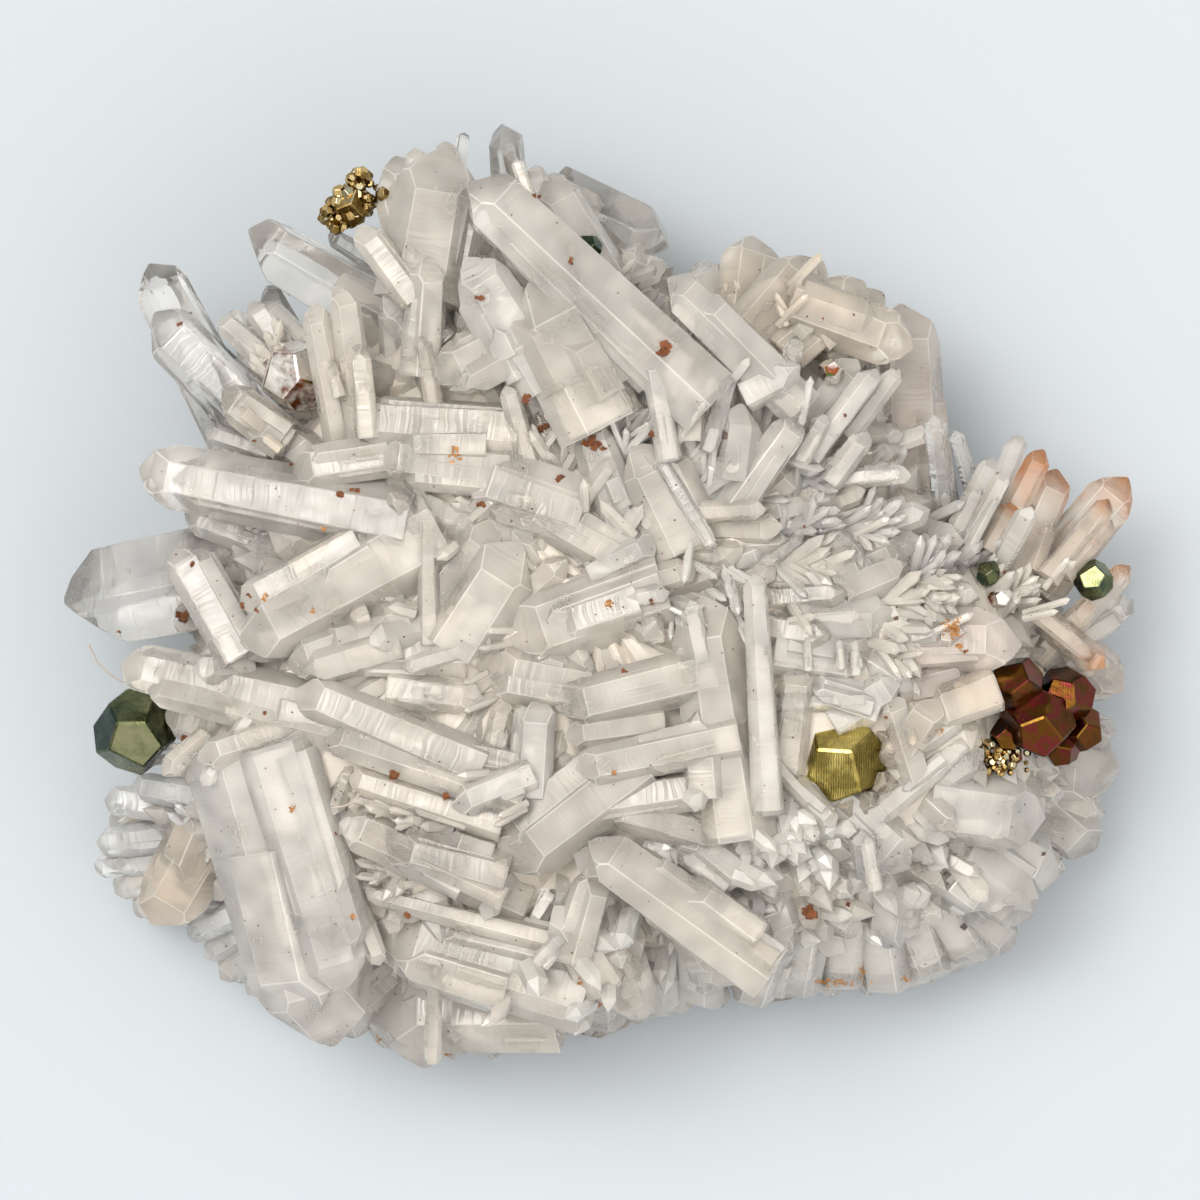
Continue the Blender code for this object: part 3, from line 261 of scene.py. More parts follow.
# Crystals between the main ones, which the CAD part leaves out
BETWEEN = [
    ("patch_a", "white", (20.2, -8.4, 31), (27.6, -10.8, 30), 4.2, 3.4),
    ("patch_b", "white", (29.8, -8, 30.4), (23, -12.2, 30), 3.8, 3.2),
    ("patch_c", "cream", (32.2, -11.4, 29.6), (39.4, -8.8, 28.4), 4.6, 3.8),
    ("patch_d", "white", (30.4, -14.6, 28.8), (35, -11.2, 28.4), 3.8, 3.2),
    ("patch_e", "pink", (36.6, -9.4, 29), (30.8, -12.6, 28.6), 3.6, 3),
    ("patch_f", "white", (38.2, -14.8, 26), (33.6, -17.8, 26), 4.2, 3.4),
    ("patch_g", "white", (17.8, -12.2, 30), (17.4, -19.6, 29), 2.6, 2.4),
    ("ledge", "white", (27, -9.8, 31.6), (17, -10.2, 31.2), 2, 1.8),
    ("clear_long", "glassy", (22.9, -21.4, 31.6), (17, -16.4, 31.8), 2, 1.8),
    ("twin_bar_a", "white", (20.5, -3.4, 33.4), (20.6, -7, 32.4), 1, 1),
    ("twin_bar_b", "white", (23.6, -3.9, 33), (23.9, -6.8, 32), 0.9, 0.9),
    ("twin_bar_c", "white", (25.2, -3.9, 32.6), (25.4, -7.4, 31.6), 1.1, 1),
    ("nub_low", "glassy", (-37.2, 28.9, 19), (-33.8, 24.6, 21), 2.4, 2.2),
    ("nub_mid", "glassy", (-34.9, 29.9, 21), (-31.6, 25, 22), 2.8, 2.4),
    ("shelf_rim", "glassy", (-39.6, 16.9, 20), (-33, 14.8, 22), 2.4, 2.2),
    ("sugar_c", "blue", (-51.3, -27, 9), (-43.4, -26.4, 12), 3, 2.8),
    ("sugar_e", "blue", (-41.6, -33.8, 11), (-36, -31, 15), 3.4, 3),
    ("sugar_g", "blue", (-37.8, -38.2, 8), (-32, -34, 12), 3.8, 3.2),
    ("crest_nub_a", "milk", (-18.6, 45, 26), (-17.6, 40, 27), 2.6, 2.4),
    ("back_tooth_a", "glassy", (-6.6, 43.4, 20), (-5.4, 38.6, 23), 2.4, 2.2),
    ("fan_stub", "clear", (19.4, 26.2, 31.8), (18.4, 20, 31.4), 2.1, 2),
    ("fan_tooth", "white", (22.4, 18.4, 32), (19.6, 13.4, 31.2), 2.1, 2),
    ("needle_a", "clear", (11.3, 5, 34.2), (6.2, 13.4, 33.6), 1.7, 1.5),
    ("shard", "white", (-3.7, -33.2, 31.4), (-6.8, -36.8, 30), 1.8, 1.6),
    ("plate_ridge", "milk", (-17, 9, 33), (-16.8, -4.4, 32.2), 2.4, 2.2),
    ("tabular_edge", "milk", (-21.8, -36.4, 27), (-30.4, -14, 30.8), 2.8, 2.4),
    ("fan_low", "glassy", (26.6, 16.6, 30.8), (22.8, 11.6, 30.2), 2.6, 2.4),
    ("splinter_back", "milk", (9, 23.6, 33.2), (9, 15.8, 32.6), 4.2, 3.4),
    ("mid_facet", "grey", (-11.5, -6.3, 31.5), (-1, -8.4, 31.5), 5.6, 4),
    ("mid_post", "white", (-6.3, -9.6, 32.6), (-7, -19.5, 31.8), 4.4, 3.6),
    ("mid_post_b", "milk", (-9.4, -9.8, 32), (-11, -17, 31.4), 2.6, 2.4),
    ("left_mid", "milk", (-11.6, -9.8, 32.6), (-21, -8.6, 31.4), 4.2, 3.4),
    ("right_lath", "pink", (26, -10.6, 29.6), (16.6, -9.8, 30.6), 2.6, 2.6),
    ("right_slope", "white", (27.5, -6.2, 29.4), (17, -4.6, 31.4), 6.4, 4.4),
    ("right_slope_b", "white", (29.6, -1.6, 29), (19, -2, 31.4), 5.4, 4, 20),
    ("blade_side", "milk", (19.6, -6.4, 32), (18.2, -17, 30.6), 4.4, 3.6),
    ("low_right", "white", (26.4, -21.2, 27.4), (19, -18.2, 29), 5, 4, 10),
    ("lintel_low", "milk", (-22, 14.4, 32), (-9, 12.8, 32), 4.6, 3.6),
    ("lintel_left", "milk", (-30.5, 12.8, 30), (-19.5, 14.6, 31), 4.4, 3.4, 10),
    ("saddle_a", "glassy", (-1.5, 17.8, 32.8), (2, 7.2, 32), 4.4, 3.4),
    ("saddle_b", "milk", (-8, 9.8, 32.4), (2.4, 4, 32), 4.8, 3.6),
    ("saddle_c", "white", (5.8, 6, 33), (-1, 2.6, 32), 3.6, 3),
    ("gap_left_a", "milk", (-31, -6.4, 30.4), (-18.6, -2.2, 31.6), 5.6, 4),
    ("gap_left_b", "milk", (-27.4, -5.4, 31), (-13.2, -5.6, 31.6), 4.6, 3.6, 15),
    ("gap_left_c", "glassy", (-36, -4.6, 27.6), (-24, -2.4, 30), 4.4, 3.6),
    ("gap_low_a", "milk", (-33.6, -10.6, 28.6), (-20, -13.6, 31), 4.6, 4),
    ("gap_mid_a", "grey", (-3.6, -13.4, 33), (6.4, -12, 32.4), 3.8, 3.2),
    ("gap_mid_b", "grey", (-18.4, -14.4, 32), (-7.2, -16.6, 32), 3.8, 3.2, 10),
    ("gap_mid_c", "grey", (-21.4, -24.2, 31), (-9.2, -27.4, 31.4), 5.4, 4),
    ("gap_mid_d", "grey", (-2.6, -25.2, 31.6), (6.6, -27.8, 30.4), 5.4, 4.4),
    ("gap_mid_e", "white", (7.4, -22.4, 31.4), (13.8, -27.6, 29.6), 4.6, 3.8, 10),
    ("gap_mid_f", "grey", (0.6, -20.6, 32), (11, -23.4, 31), 4.2, 3.6),
    ("socket_plate", "cream", (33.4, -9.6, 30.6), (29.4, -15.6, 28.8), 4.4, 3.6),
    ("socket_lath", "grey", (28.8, -9.4, 30.8), (31.6, -18, 28.6), 3.4, 3, 20),
    ("socket_left", "grey", (18.6, -9, 30.6), (19.4, -15.4, 28.6), 3.2, 2.8, 20),
]
ROWS = UPPER_LEFT + LEFT + LOWER_LEFT + CENTRE + TOP + UPPER_RIGHT + RIGHT + FRONT_TEETH + BETWEEN
NAMED_CRYSTALS = [Crystal(*row) for row in ROWS]
# Tips of the small blunt crystals along the rim: pixel, width and height in millimetres
RIM_NUBS = [
    (103, 868, 3.8, 9), (110, 898, 3.6, 8), (128, 920, 3.4, 7), (104, 832, 3, 10), (190, 926, 3.2, 8),
    (206, 962, 3.2, 8), (216, 984, 3.4, 8), (242, 1000, 3.2, 8), (345, 1044, 4, 8), (376, 1052, 3.8, 8),
    (404, 1066, 3.6, 9), (450, 1066, 3.4, 9), (590, 1042, 3.4, 8), (640, 1030, 3.2, 8), (684, 1020, 3.4, 9),
    (722, 1012, 3.8, 9), (760, 1008, 3.6, 10), (800, 1002, 3.8, 9), (842, 1000, 3.4, 8), (884, 998, 3.6, 9),
    (928, 988, 3.8, 9), (968, 974, 3.6, 9), (1000, 960, 3.8, 8), (1022, 934, 3.8, 9), (1044, 902, 4, 8),
    (1072, 874, 4, 8), (1098, 850, 4.4, 8), (1114, 818, 4.4, 9), (1124, 776, 4.6, 9), (1122, 736, 4.2, 9),
    (1122, 690, 3.6, 10), (218, 318, 2.8, 20), (244, 322, 3.2, 19), (262, 302, 3, 21), (236, 346, 3, 18),
]
# Stubs round the middle right pyrite: number, and ranges of width, of room round it and of height
COLLAR_COUNT = 13
COLLAR_WIDTH = (2.7, 3.3)
COLLAR_ROOM = (0.9, 1.3)
COLLAR_HEIGHT = (2.6, 3.3)
# Crystals that fill the mound's bare places all grow away from this pixel
GROWTH_FOCUS = (540, 590)
FILL_TRIES = 4500
FILL_COUNT = 340
FILL_COLUMNS = (100, 1110)
FILL_ROWS = (170, 1030)
FILL_SPACING = 1.9
FILL_SWING = 0.5
FILL_RISE = (4, 24)
FILL_LENGTH = (5, 10)
FILL_WIDTH = (2, 4)
FILL_EDGE = 0.98
# Main crystals wider than this have three crystals grown on them, the others one
COMPANION_WIDTH = 4.0
# Shares of the main crystal by which these are set aside and up, start, end, lean and are wide
COMPANION_ASIDE = 0.32
COMPANION_UP = (-0.05, 0.22)
COMPANION_START = (-0.02, 0.35)
COMPANION_END = (0.55, 0.93)
COMPANION_LEAN = 0.10
COMPANION_SHARE = (0.42, 0.75)
# The roots of these are brought down into the mound
SUNK_ROOTS = {name for name, *_ in UPPER_LEFT + RIGHT} | {
    "top_thumb", "top_bar", "grey_back", "back_sill", "back_low", "bar_long",
}
SKIRT_COUNT = 60
SKIRT_REACH = 0.97
SKIRT_LENGTH = (9, 14)
SKIRT_HEIGHT = (9, 17)
SKIRT_WIDTH = (2.5, 6)
# Heights of the short crystals all over the flank, and how many are tried at each
WALL_LEVELS = [8.2, 10.4, 12.6, 15, 17.5, 20, 22.5, 25, 27]
WALL_COUNT = 80
WALL_SWING = 0.8
WALL_RISE = (-12, 38)
WALL_LENGTH = (3.5, 7.5)
WALL_WIDTH = (1.6, 3.6)
WALL_EDGE = 0.985

# A look: colour of the crystal, and its cloudy core's share of the width and of the length
Look = namedtuple("Look", "tint core_width core_length")
LOOKS = {
    "milk": Look((0.97, 0.915, 0.83), 0.66, 0.60),
    "white": Look((0.99, 0.96, 0.91), 0.72, 0.70),
    "cream": Look((0.97, 0.87, 0.73), 0.72, 0.70),
    "sand": Look((0.88, 0.77, 0.63), 0.76, 0.75),
    "grey": Look((0.88, 0.82, 0.74), 0.55, 0.45),
    "pink": Look((0.97, 0.87, 0.79), 0.70, 0.70),
    "blue": Look((0.95, 0.96, 0.96), 0.70, 0.65),
    "glassy": Look((0.96, 0.92, 0.86), 0.50, 0.40),
    "rust": Look((0.95, 0.84, 0.71), 0.60, 0.60),
    "clear": Look((0.96, 0.94, 0.91), 0.42, 0.30),
    "smoky": Look((0.85, 0.80, 0.74), 0.55, 0.40),
    "brown": Look((0.60, 0.52, 0.41), 0.70, 0.60),
}
CLEAR_LOOKS = ("clear", "smoky")
# Which looks are drawn for the crystals placed at random, some more often
FILL_LOOKS = ("milk", "milk", "white", "glassy", "grey")
WALL_LOOKS = ("milk", "white", "glassy", "grey")
RIM_LOOKS = ("milk", "white", "glassy")

Zone = namedtuple("Zone", "middle reach count length width aim spread rise look")
# Where small crystals crowd: pixel centre and half sizes, and the way that they point on the
# picture in degrees anticlockwise from its right
ZONE_TRIES = 6
ZONE_SHADES = (0.92, 1.06)
ZONES = [
    Zone((700, 440), (90, 80), 130, (3.4, 8), (0.55, 1.17), 70, 50, (8, 42), "white"),
    Zone((800, 480), (100, 80), 150, (2.9, 6.9), (0.55, 1.25), 30, 60, (8, 42), "clear"),
    Zone((700, 560), (80, 60), 90, (3.4, 6.9), (0.55, 1.09), -55, 50, (8, 42), "white"),
    Zone((860, 600), (90, 70), 110, (2.9, 6.3), (0.62, 1.4), -20, 60, (8, 42), "milk"),
    Zone((930, 520), (60, 70), 90, (3.4, 6.9), (0.55, 1.25), 55, 30, (8, 42), "clear"),
    Zone((1040, 560), (60, 70), 70, (2.9, 5.8), (0.62, 1.25), 40, 40, (8, 42), "milk"),
    Zone((800, 870), (90, 70), 80, (2.6, 5.4), (1.4, 2.8), -60, 70, (15, 60), "white"),
    Zone((940, 900), (100, 60), 90, (2.4, 4.8), (1.6, 3.2), -50, 70, (15, 60), "white"),
    Zone((620, 960), (90, 70), 70, (2.3, 5.2), (1.3, 2.6), -90, 60, (15, 60), "white"),
    Zone((440, 1020), (90, 40), 60, (2.3, 4.6), (0.78, 1.72), -100, 40, (8, 42), "milk"),
    Zone((720, 830), (70, 60), 50, (2.3, 5.2), (1.1, 2.2), -70, 60, (15, 60), "white"),
    Zone((1010, 800), (70, 60), 50, (2.3, 4.6), (1.4, 2.8), -10, 60, (15, 60), "white"),
    Zone((560, 500), (90, 50), 80, (2.9, 6.3), (0.62, 1.4), 100, 70, (8, 42), "milk"),
    Zone((480, 620), (90, 80), 60, (2.9, 6.3), (0.62, 1.4), 190, 60, (8, 42), "milk"),
    Zone((450, 830), (110, 60), 60, (2.9, 5.8), (0.62, 1.25), 200, 50, (8, 42), "grey"),
    Zone((580, 260), (70, 60), 60, (2.3, 5.2), (0.55, 1.25), 80, 60, (8, 42), "glassy"),
    Zone((430, 190), (60, 60), 70, (2.1, 4.6), (0.55, 1.25), 100, 50, (8, 42), "milk"),
    Zone((740, 290), (80, 50), 70, (2.3, 5.2), (0.62, 1.4), 80, 50, (8, 42), "cream"),
    Zone((300, 370), (70, 60), 60, (2.3, 5.2), (0.55, 1.25), 120, 50, (8, 42), "milk"),
    Zone((140, 850), (60, 70), 110, (1.7, 3.7), (0.62, 1.25), 190, 60, (8, 42), "blue"),
    Zone((210, 950), (50, 50), 70, (1.7, 3.7), (0.62, 1.25), 220, 50, (8, 42), "blue"),
    Zone((150, 640), (60, 50), 50, (2.3, 4.6), (0.55, 1.09), 180, 50, (8, 42), "clear"),
]

PYRITE_SINGLES = {
    "pyrite_centre": Pyrite((24, -15.7, 27.6), 4, (-8, 10), 18),
    "pyrite_left_rim": Pyrite((-46.6, -13.2, 20), 3.5, (24, -38), 40),
    "pyrite_upper_left": Pyrite((-30.2, 22.3, 25.6), 3.1, (6, 4), 75),
    "pyrite_green": Pyrite((49.5, 2, 18.6), 1.7, (20, 12), 35),
    "pyrite_hinge": Pyrite((38.8, 2.7, 22.8), 1.1, (10, -15), 10),
    "pyrite_notch": Pyrite((40, 0.4, 22.2), 1, (-20, 10), 55),
    "pyrite_fan_gap": Pyrite((22.9, 22.6, 30.4), 1.1, (15, 20), 30),
    "pyrite_under_blade": Pyrite((-1.2, 35, 27.8), 1.2, (-12, 25), 65),
}
RIGHT_CLUSTER = [
    Pyrite((41.4, -8.6, 26.4), 2.5, (12, -10), 12),
    Pyrite((43.6, -12, 25.8), 3.1, (-6, 8), 44),
    Pyrite((46.4, -9.6, 24.6), 2.5, (14, 16), 70),
    Pyrite((48, -12.8, 23.2), 2, (22, -12), 25),
    Pyrite((40.6, -13.4, 25.2), 1.5, (-14, -8), 60),
    Pyrite((46, -14.6, 23.6), 1.7, (8, 26), 15),
    Pyrite((41, -15.4, 24), 1, (30, 0), 35),
    Pyrite((39.8, -16.2, 23.8), 0.9, (16, 16), 50),
]
# Crumbs of pyrite beside the right cluster: middle, half sizes and number
CRUMBS_MIDDLE = (40.2, -15.6, 25.4)
CRUMBS_REACH = (2.4, 1.7, 0.7)
CRUMB_COUNT = 64
CRUMB_SIZE = (0.16, 0.42)
# Fibres caught on the quartz, as pixels with a height in millimetres
FIBRES = [
    [(84, 645, 12), (92, 662, 12.5), (104, 674, 13), (119, 683, 14)],
    [(335, 805, 33), (346, 804, 33.4), (356, 800, 33.2), (362, 791, 33)],
]
FIBRE_WIDTH = 0.16
FIBRE_TINT = (0.55, 0.50, 0.45)
DRUSE_START = (-22.6, 41.6, 26.6)
DRUSE_END = (-27, 37.2, 26)
DRUSE_HALF_WIDTH = 1.9
DRUSE_GRAINS = 110
DRUSE_GRAIN = (0.25, 0.65)
DRUSE_HEART = 1.9

# Grains of rust on the quartz: pixel and size across in millimetres
RUST_GRAINS = [
    (181, 324, 0.6), (257, 442, 0.4), (294, 467, 0.4), (343, 497, 0.8), (359, 493, 0.8), (539, 201, 0.7),
    (573, 267, 0.6), (482, 304, 0.7), (529, 402, 0.9), (545, 432, 1), (590, 444, 1.1), (596, 448, 1),
    (604, 450, 0.7), (665, 353, 1.1), (659, 358, 0.6), (652, 438, 0.6), (561, 480, 0.8), (483, 506, 0.8),
    (195, 565, 0.6), (183, 618, 1.1), (246, 605, 0.6), (253, 597, 0.5), (262, 612, 0.5), (269, 714, 0.5),
    (186, 739, 0.8), (398, 775, 1.2), (449, 797, 0.8), (410, 913, 0.7), (340, 833, 0.4), (652, 602, 0.6),
    (624, 671, 0.6), (803, 529, 0.4), (963, 651, 0.5), (886, 717, 0.5), (810, 914, 1.3), (806, 911, 0.8),
    (848, 906, 0.7), (1005, 574, 0.5), (853, 318, 0.3), (822, 322, 0.3), (844, 418, 0.4), (118, 633, 0.4),
]
DARK_GRAINS = [(725, 439, 0.9), (895, 620, 0.5), (967, 930, 0.7), (1046, 856, 0.4)]
# Ochre stains: pixel centre, half sizes in millimetres and number of flakes
OCHRE_STAINS = [
    (457, 458, 0.7, 0.9, 26), (269, 598, 0.4, 0.4, 10), (317, 612, 0.3, 0.4, 8), (327, 531, 0.3, 0.2, 6),
    (356, 915, 0.3, 0.3, 8), (295, 808, 0.4, 0.3, 8), (375, 1046, 0.5, 0.4, 10), (446, 1061, 0.4, 0.2, 8),
    (610, 604, 0.5, 0.6, 14), (615, 771, 0.4, 0.4, 10), (581, 980, 0.3, 0.3, 8), (601, 1009, 0.3, 0.3, 8),
    (939, 733, 0.5, 0.4, 10), (950, 630, 1.2, 1.1, 70), (958, 648, 0.5, 0.4, 14), (909, 983, 0.5, 0.3, 10),
    (842, 986, 2.4, 0.4, 40), (822, 985, 0.6, 0.3, 14), (866, 976, 0.3, 0.6, 14),
]
SPECK_COUNT = 560
SPECK_REACH = (50, 44)
# Kinds of grain: tint, size and tone. The size of rust is a share of the one in its table
Grain = namedtuple("Grain", "tint sizes tones")
RUST = Grain((0.15, 0.045, 0.014), (0.4, 0.75), (0.6, 1.3))
OCHRE = Grain((0.46, 0.22, 0.06), (0.12, 0.32), (0.7, 1.15))
SPECK = Grain((0.07, 0.05, 0.04), (0.09, 0.21), (0.5, 1.5))
DARK_TINT = (0.06, 0.06, 0.07)
FLECK_TINT = (0.45, 0.17, 0.04)
ROCK_DARK = (0.12, 0.115, 0.105)
ROCK_LIGHT = (0.34, 0.31, 0.27)
ROCK_FLECK = (0.55, 0.53, 0.49)

# Quartz outsides: piece, material, share of light let through where clearest and cloudiest, tinting
OUTSIDES = [
    ("quartz_milky_crystals", "quartz_milky", 0.80, 0.58, 0.7),
    ("quartz_clear_crystals", "quartz_clear", 0.97, 0.72, 0.3),
    ("quartz_small_milky", "quartz_small_white", 0.62, 0.42, 0.8),
    ("quartz_small_clear", "quartz_small_glass", 0.74, 0.50, 0.8),
]
QUARTZ_IOR = 1.544
GROWTH_LINES = 0.22
PALE_CLOUD = (0.98, 0.96, 0.92)
PALE_FACE = (1.0, 0.99, 0.97)
# Iron stain inside the crystals and on their outsides
STAIN_INSIDE = (0.62, 0.27, 0.09)
STAIN_OUTSIDE = (0.70, 0.30, 0.10)
# Painted highlight: the bevelled edges are made whiter and let less light through, standing in for the bright
# lines that light draws along the crystal edges
EDGE_HIGHLIGHT_COLOUR = (1.0, 0.985, 0.96)
EDGE_HIGHLIGHT_MIX = 0.3
EDGE_HIGHLIGHT_CLOUD = 0.12

# Tarnish: film colours from the low to the high end of the film value, roughness and strength of the growth
# lines. Faces that look up get high values, so where the colours run from dark to bright, the bright end is
# partly a painted highlight on the tops
Coat = namedtuple("Coat", "colours roughness lines", defaults=(0.10,))
COATS = {
    "pyrite_green": Coat([
        (0.012, 0.03, 0.022), (0.04, 0.07, 0.045), (0.14, 0.15, 0.07), (0.24, 0.25, 0.14),
    ], 0.22),
    "pyrite_olive": Coat([
        (0.13, 0.10, 0.02), (0.28, 0.22, 0.06), (0.64, 0.53, 0.17), (0.94, 0.80, 0.28),
    ], 0.2, 0.8),
    "pyrite_bronze": Coat([
        (0.18, 0.11, 0.04), (0.90, 0.86, 0.80), (0.94, 0.91, 0.87), (0.24, 0.055, 0.015), (0.04, 0.15, 0.04),
    ], 0.36),
    "pyrite_rainbow": Coat([
        (0.05, 0.04, 0.045), (0.07, 0.032, 0.014), (0.11, 0.045, 0.01), (0.17, 0.025, 0.03),
        (0.12, 0.05, 0.01), (0.13, 0.06, 0.01), (0.24, 0.13, 0.025),
    ], 0.18),
    "pyrite_brassy": Coat([
        (0.06, 0.035, 0.01), (0.25, 0.15, 0.04), (0.66, 0.48, 0.20), (0.42, 0.42, 0.30),
    ], 0.2),
}
SINGLE_COATS = {
    "pyrite_centre": "pyrite_olive", "pyrite_left_rim": "pyrite_green", "pyrite_green": "pyrite_green",
    "pyrite_upper_left": "pyrite_bronze", "pyrite_hinge": "pyrite_green", "pyrite_notch": "pyrite_bronze",
    "pyrite_fan_gap": "pyrite_bronze", "pyrite_under_blade": "pyrite_green",
}


def picture_point(px, py):
    """Millimetres in the part's frame of a pixel of the photograph."""
    return (px - PICTURE_MIDDLE) / PIXELS_PER_MM, (PICTURE_MIDDLE - py) / PIXELS_PER_MM


class Pile:
    """A growing mesh with the values that its material reads."""

    def __init__(self):
        self.verts, self.faces = [], []
        self.tint, self.stain, self.along = [], [], []
        self.edge, self.host = [], []

    def add(self, verts, faces, tint, stain=None, along=None, edge=None, host=None):
        start = len(self.verts)
        count = len(verts)
        self.verts += verts
        self.faces += [[start + k for k in face] for face in faces]
        self.tint += [tint] * count
        self.stain += stain or [0.0] * count
        self.along += along or [0.0] * count
        self.edge += edge or [0.0] * len(faces)
        self.host += host or [False] * len(faces)

    def build(self, name, material, collection):
        mesh = bpy.data.meshes.new(name)
        mesh.from_pydata([tuple(c * MM for c in v) for v in self.verts], [], self.faces)
        for label, values in (("stain", self.stain), ("along", self.along)):
            mesh.attributes.new(label, "FLOAT", "POINT").data.foreach_set("value", values)
        tints = mesh.attributes.new("tint", "FLOAT_COLOR", "POINT")
        tints.data.foreach_set("color", [c for tint in self.tint for c in (*tint, 1.0)])
        mesh.attributes.new("edge", "FLOAT", "FACE").data.foreach_set("value", self.edge)
        mesh.materials.append(material)
        mesh.update()
        obj = bpy.data.objects.new(name, mesh)
        collection.objects.link(obj)
        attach(obj, "root")
        return obj


# Geometry

OUTLINE_POLAR = sorted((math.atan2(y, x), math.hypot(x, y)) for x, y in OUTLINE)
UP = Vector((0, 0, 1))


def aimed(heading, rise):
    """The direction with this heading seen from above and this rise, both in radians."""
    return Vector((math.cos(heading) * math.cos(rise), math.sin(heading) * math.cos(rise), math.sin(rise)))


def shaded(tint, share):
    """The colour made lighter or darker, and never past full."""
    return tuple(min(1.0, part * share) for part in tint)


def wrapped(angle):
    """The same angle between minus and plus half a turn."""
    return (angle + math.pi) % math.tau - math.pi


def outline_radius(angle):
    """How far the outline is from the middle in a direction."""
    corners = OUTLINE_POLAR
    for (a0, r0), (a1, r1) in zip(corners, corners[1:]):
        if a0 <= angle <= a1:
            return r0 + (r1 - r0) * (angle - a0) / (a1 - a0)
    (a0, r0), (a1, r1) = corners[-1], corners[0]
    gone = (angle - a0) % math.tau
    return r0 + (r1 - r0) * gone / ((a1 - a0) % math.tau)


def mound_height(x, y):
    """Height of the mound under a point."""
    share = math.hypot(x, y) / (MOUND_SHARE * outline_radius(math.atan2(y, x)))
    for (s0, z0), (s1, z1) in zip(MOUND_PROFILE, MOUND_PROFILE[1:]):
        if share <= s1:
            return z0 + (z1 - z0) * (share - s0) / (s1 - s0)
    return MOUND_PROFILE[-1][1]


def cut_face(body, point, normal):
    """Grinds one flat face on a convex body: what is beyond the plane goes, and the cut is closed."""
    parts = body.verts[:] + body.edges[:] + body.faces[:]
    cut = bmesh.ops.bisect_plane(
        body, geom=parts, plane_co=point, plane_no=normal, clear_outer=True
    )
    rim = [part for part in cut["geom_cut"] if isinstance(part, bmesh.types.BMEdge)]
    if len(rim) > 2:
        bmesh.ops.contextual_create(body, geom=rim)


def axis_frame(tip, root):
    """Turns local +Z onto the axis from root to tip, with local +X level."""
    axis = (tip - root).normalized()
    side = UP.cross(axis)
    side = side.normalized() if side.length > 1e-3 else Vector((1, 0, 0))
    up = axis.cross(side)
    return Matrix((side, up, axis)).transposed().to_4x4()


def inside_box(points):
    """The move that brings the points inside the box of the CAD part, in millimetres."""
    nudge = Vector((0, 0, 0))
    for axis in range(3):
        low = CAD_BOX[0][axis] / MM + BOX_MARGIN
        high = CAD_BOX[1][axis] / MM - BOX_MARGIN
        least = min(point[axis] for point in points)
        most = max(point[axis] for point in points)
        nudge[axis] = min(0.0, high - most) + max(0.0, low - least)
    return nudge


def bevelled(body, width):
    """Rounds every edge a little and returns the new faces."""
    made = bmesh.ops.bevel(
        body, geom=body.edges[:], offset=width, segments=1, profile=0.5, affect="EDGES", clamp_overlap=True
    )
    return set(made["faces"])


def cloudy_core(pile, grown, crystal, length, place, seed):
    """Adds the milky inside of a crystal: its own shape drawn in, with a ragged surface."""
    look = LOOKS[crystal.look]
    inner = grown.copy()
    bmesh.ops.subdivide_edges(inner, edges=inner.edges[:], cuts=2, use_grid_fill=True)
    bmesh.ops.triangulate(inner, faces=inner.faces[:])
    inner.verts.index_update()
    for vertex in inner.verts:
        ragged = noise.noise(vertex.co * 0.55 + Vector((seed * 90, 0, 0))) * 0.5
        ragged += noise.noise(vertex.co * 1.6 + Vector((0, seed * 90, 0))) * 0.25
        draw = look.core_width * (1 + CORE_RAGGED[0] * ragged)
        reach = look.core_length * (1 + CORE_RAGGED[1] * ragged)
        level = 0.02 * length + vertex.co.z * reach * 0.97
        vertex.co = Vector((vertex.co.x * draw, vertex.co.y * draw, level))
    rise = [vertex.co.z / length for vertex in inner.verts]
    inner.transform(place)
    pile.add(
        [tuple(vertex.co) for vertex in inner.verts],
        [[vertex.index for vertex in face.verts] for face in inner.faces],
        look.tint, stain=[value if crystal.look == "rust" else 0.0 for value in rise],
    )
    inner.free()


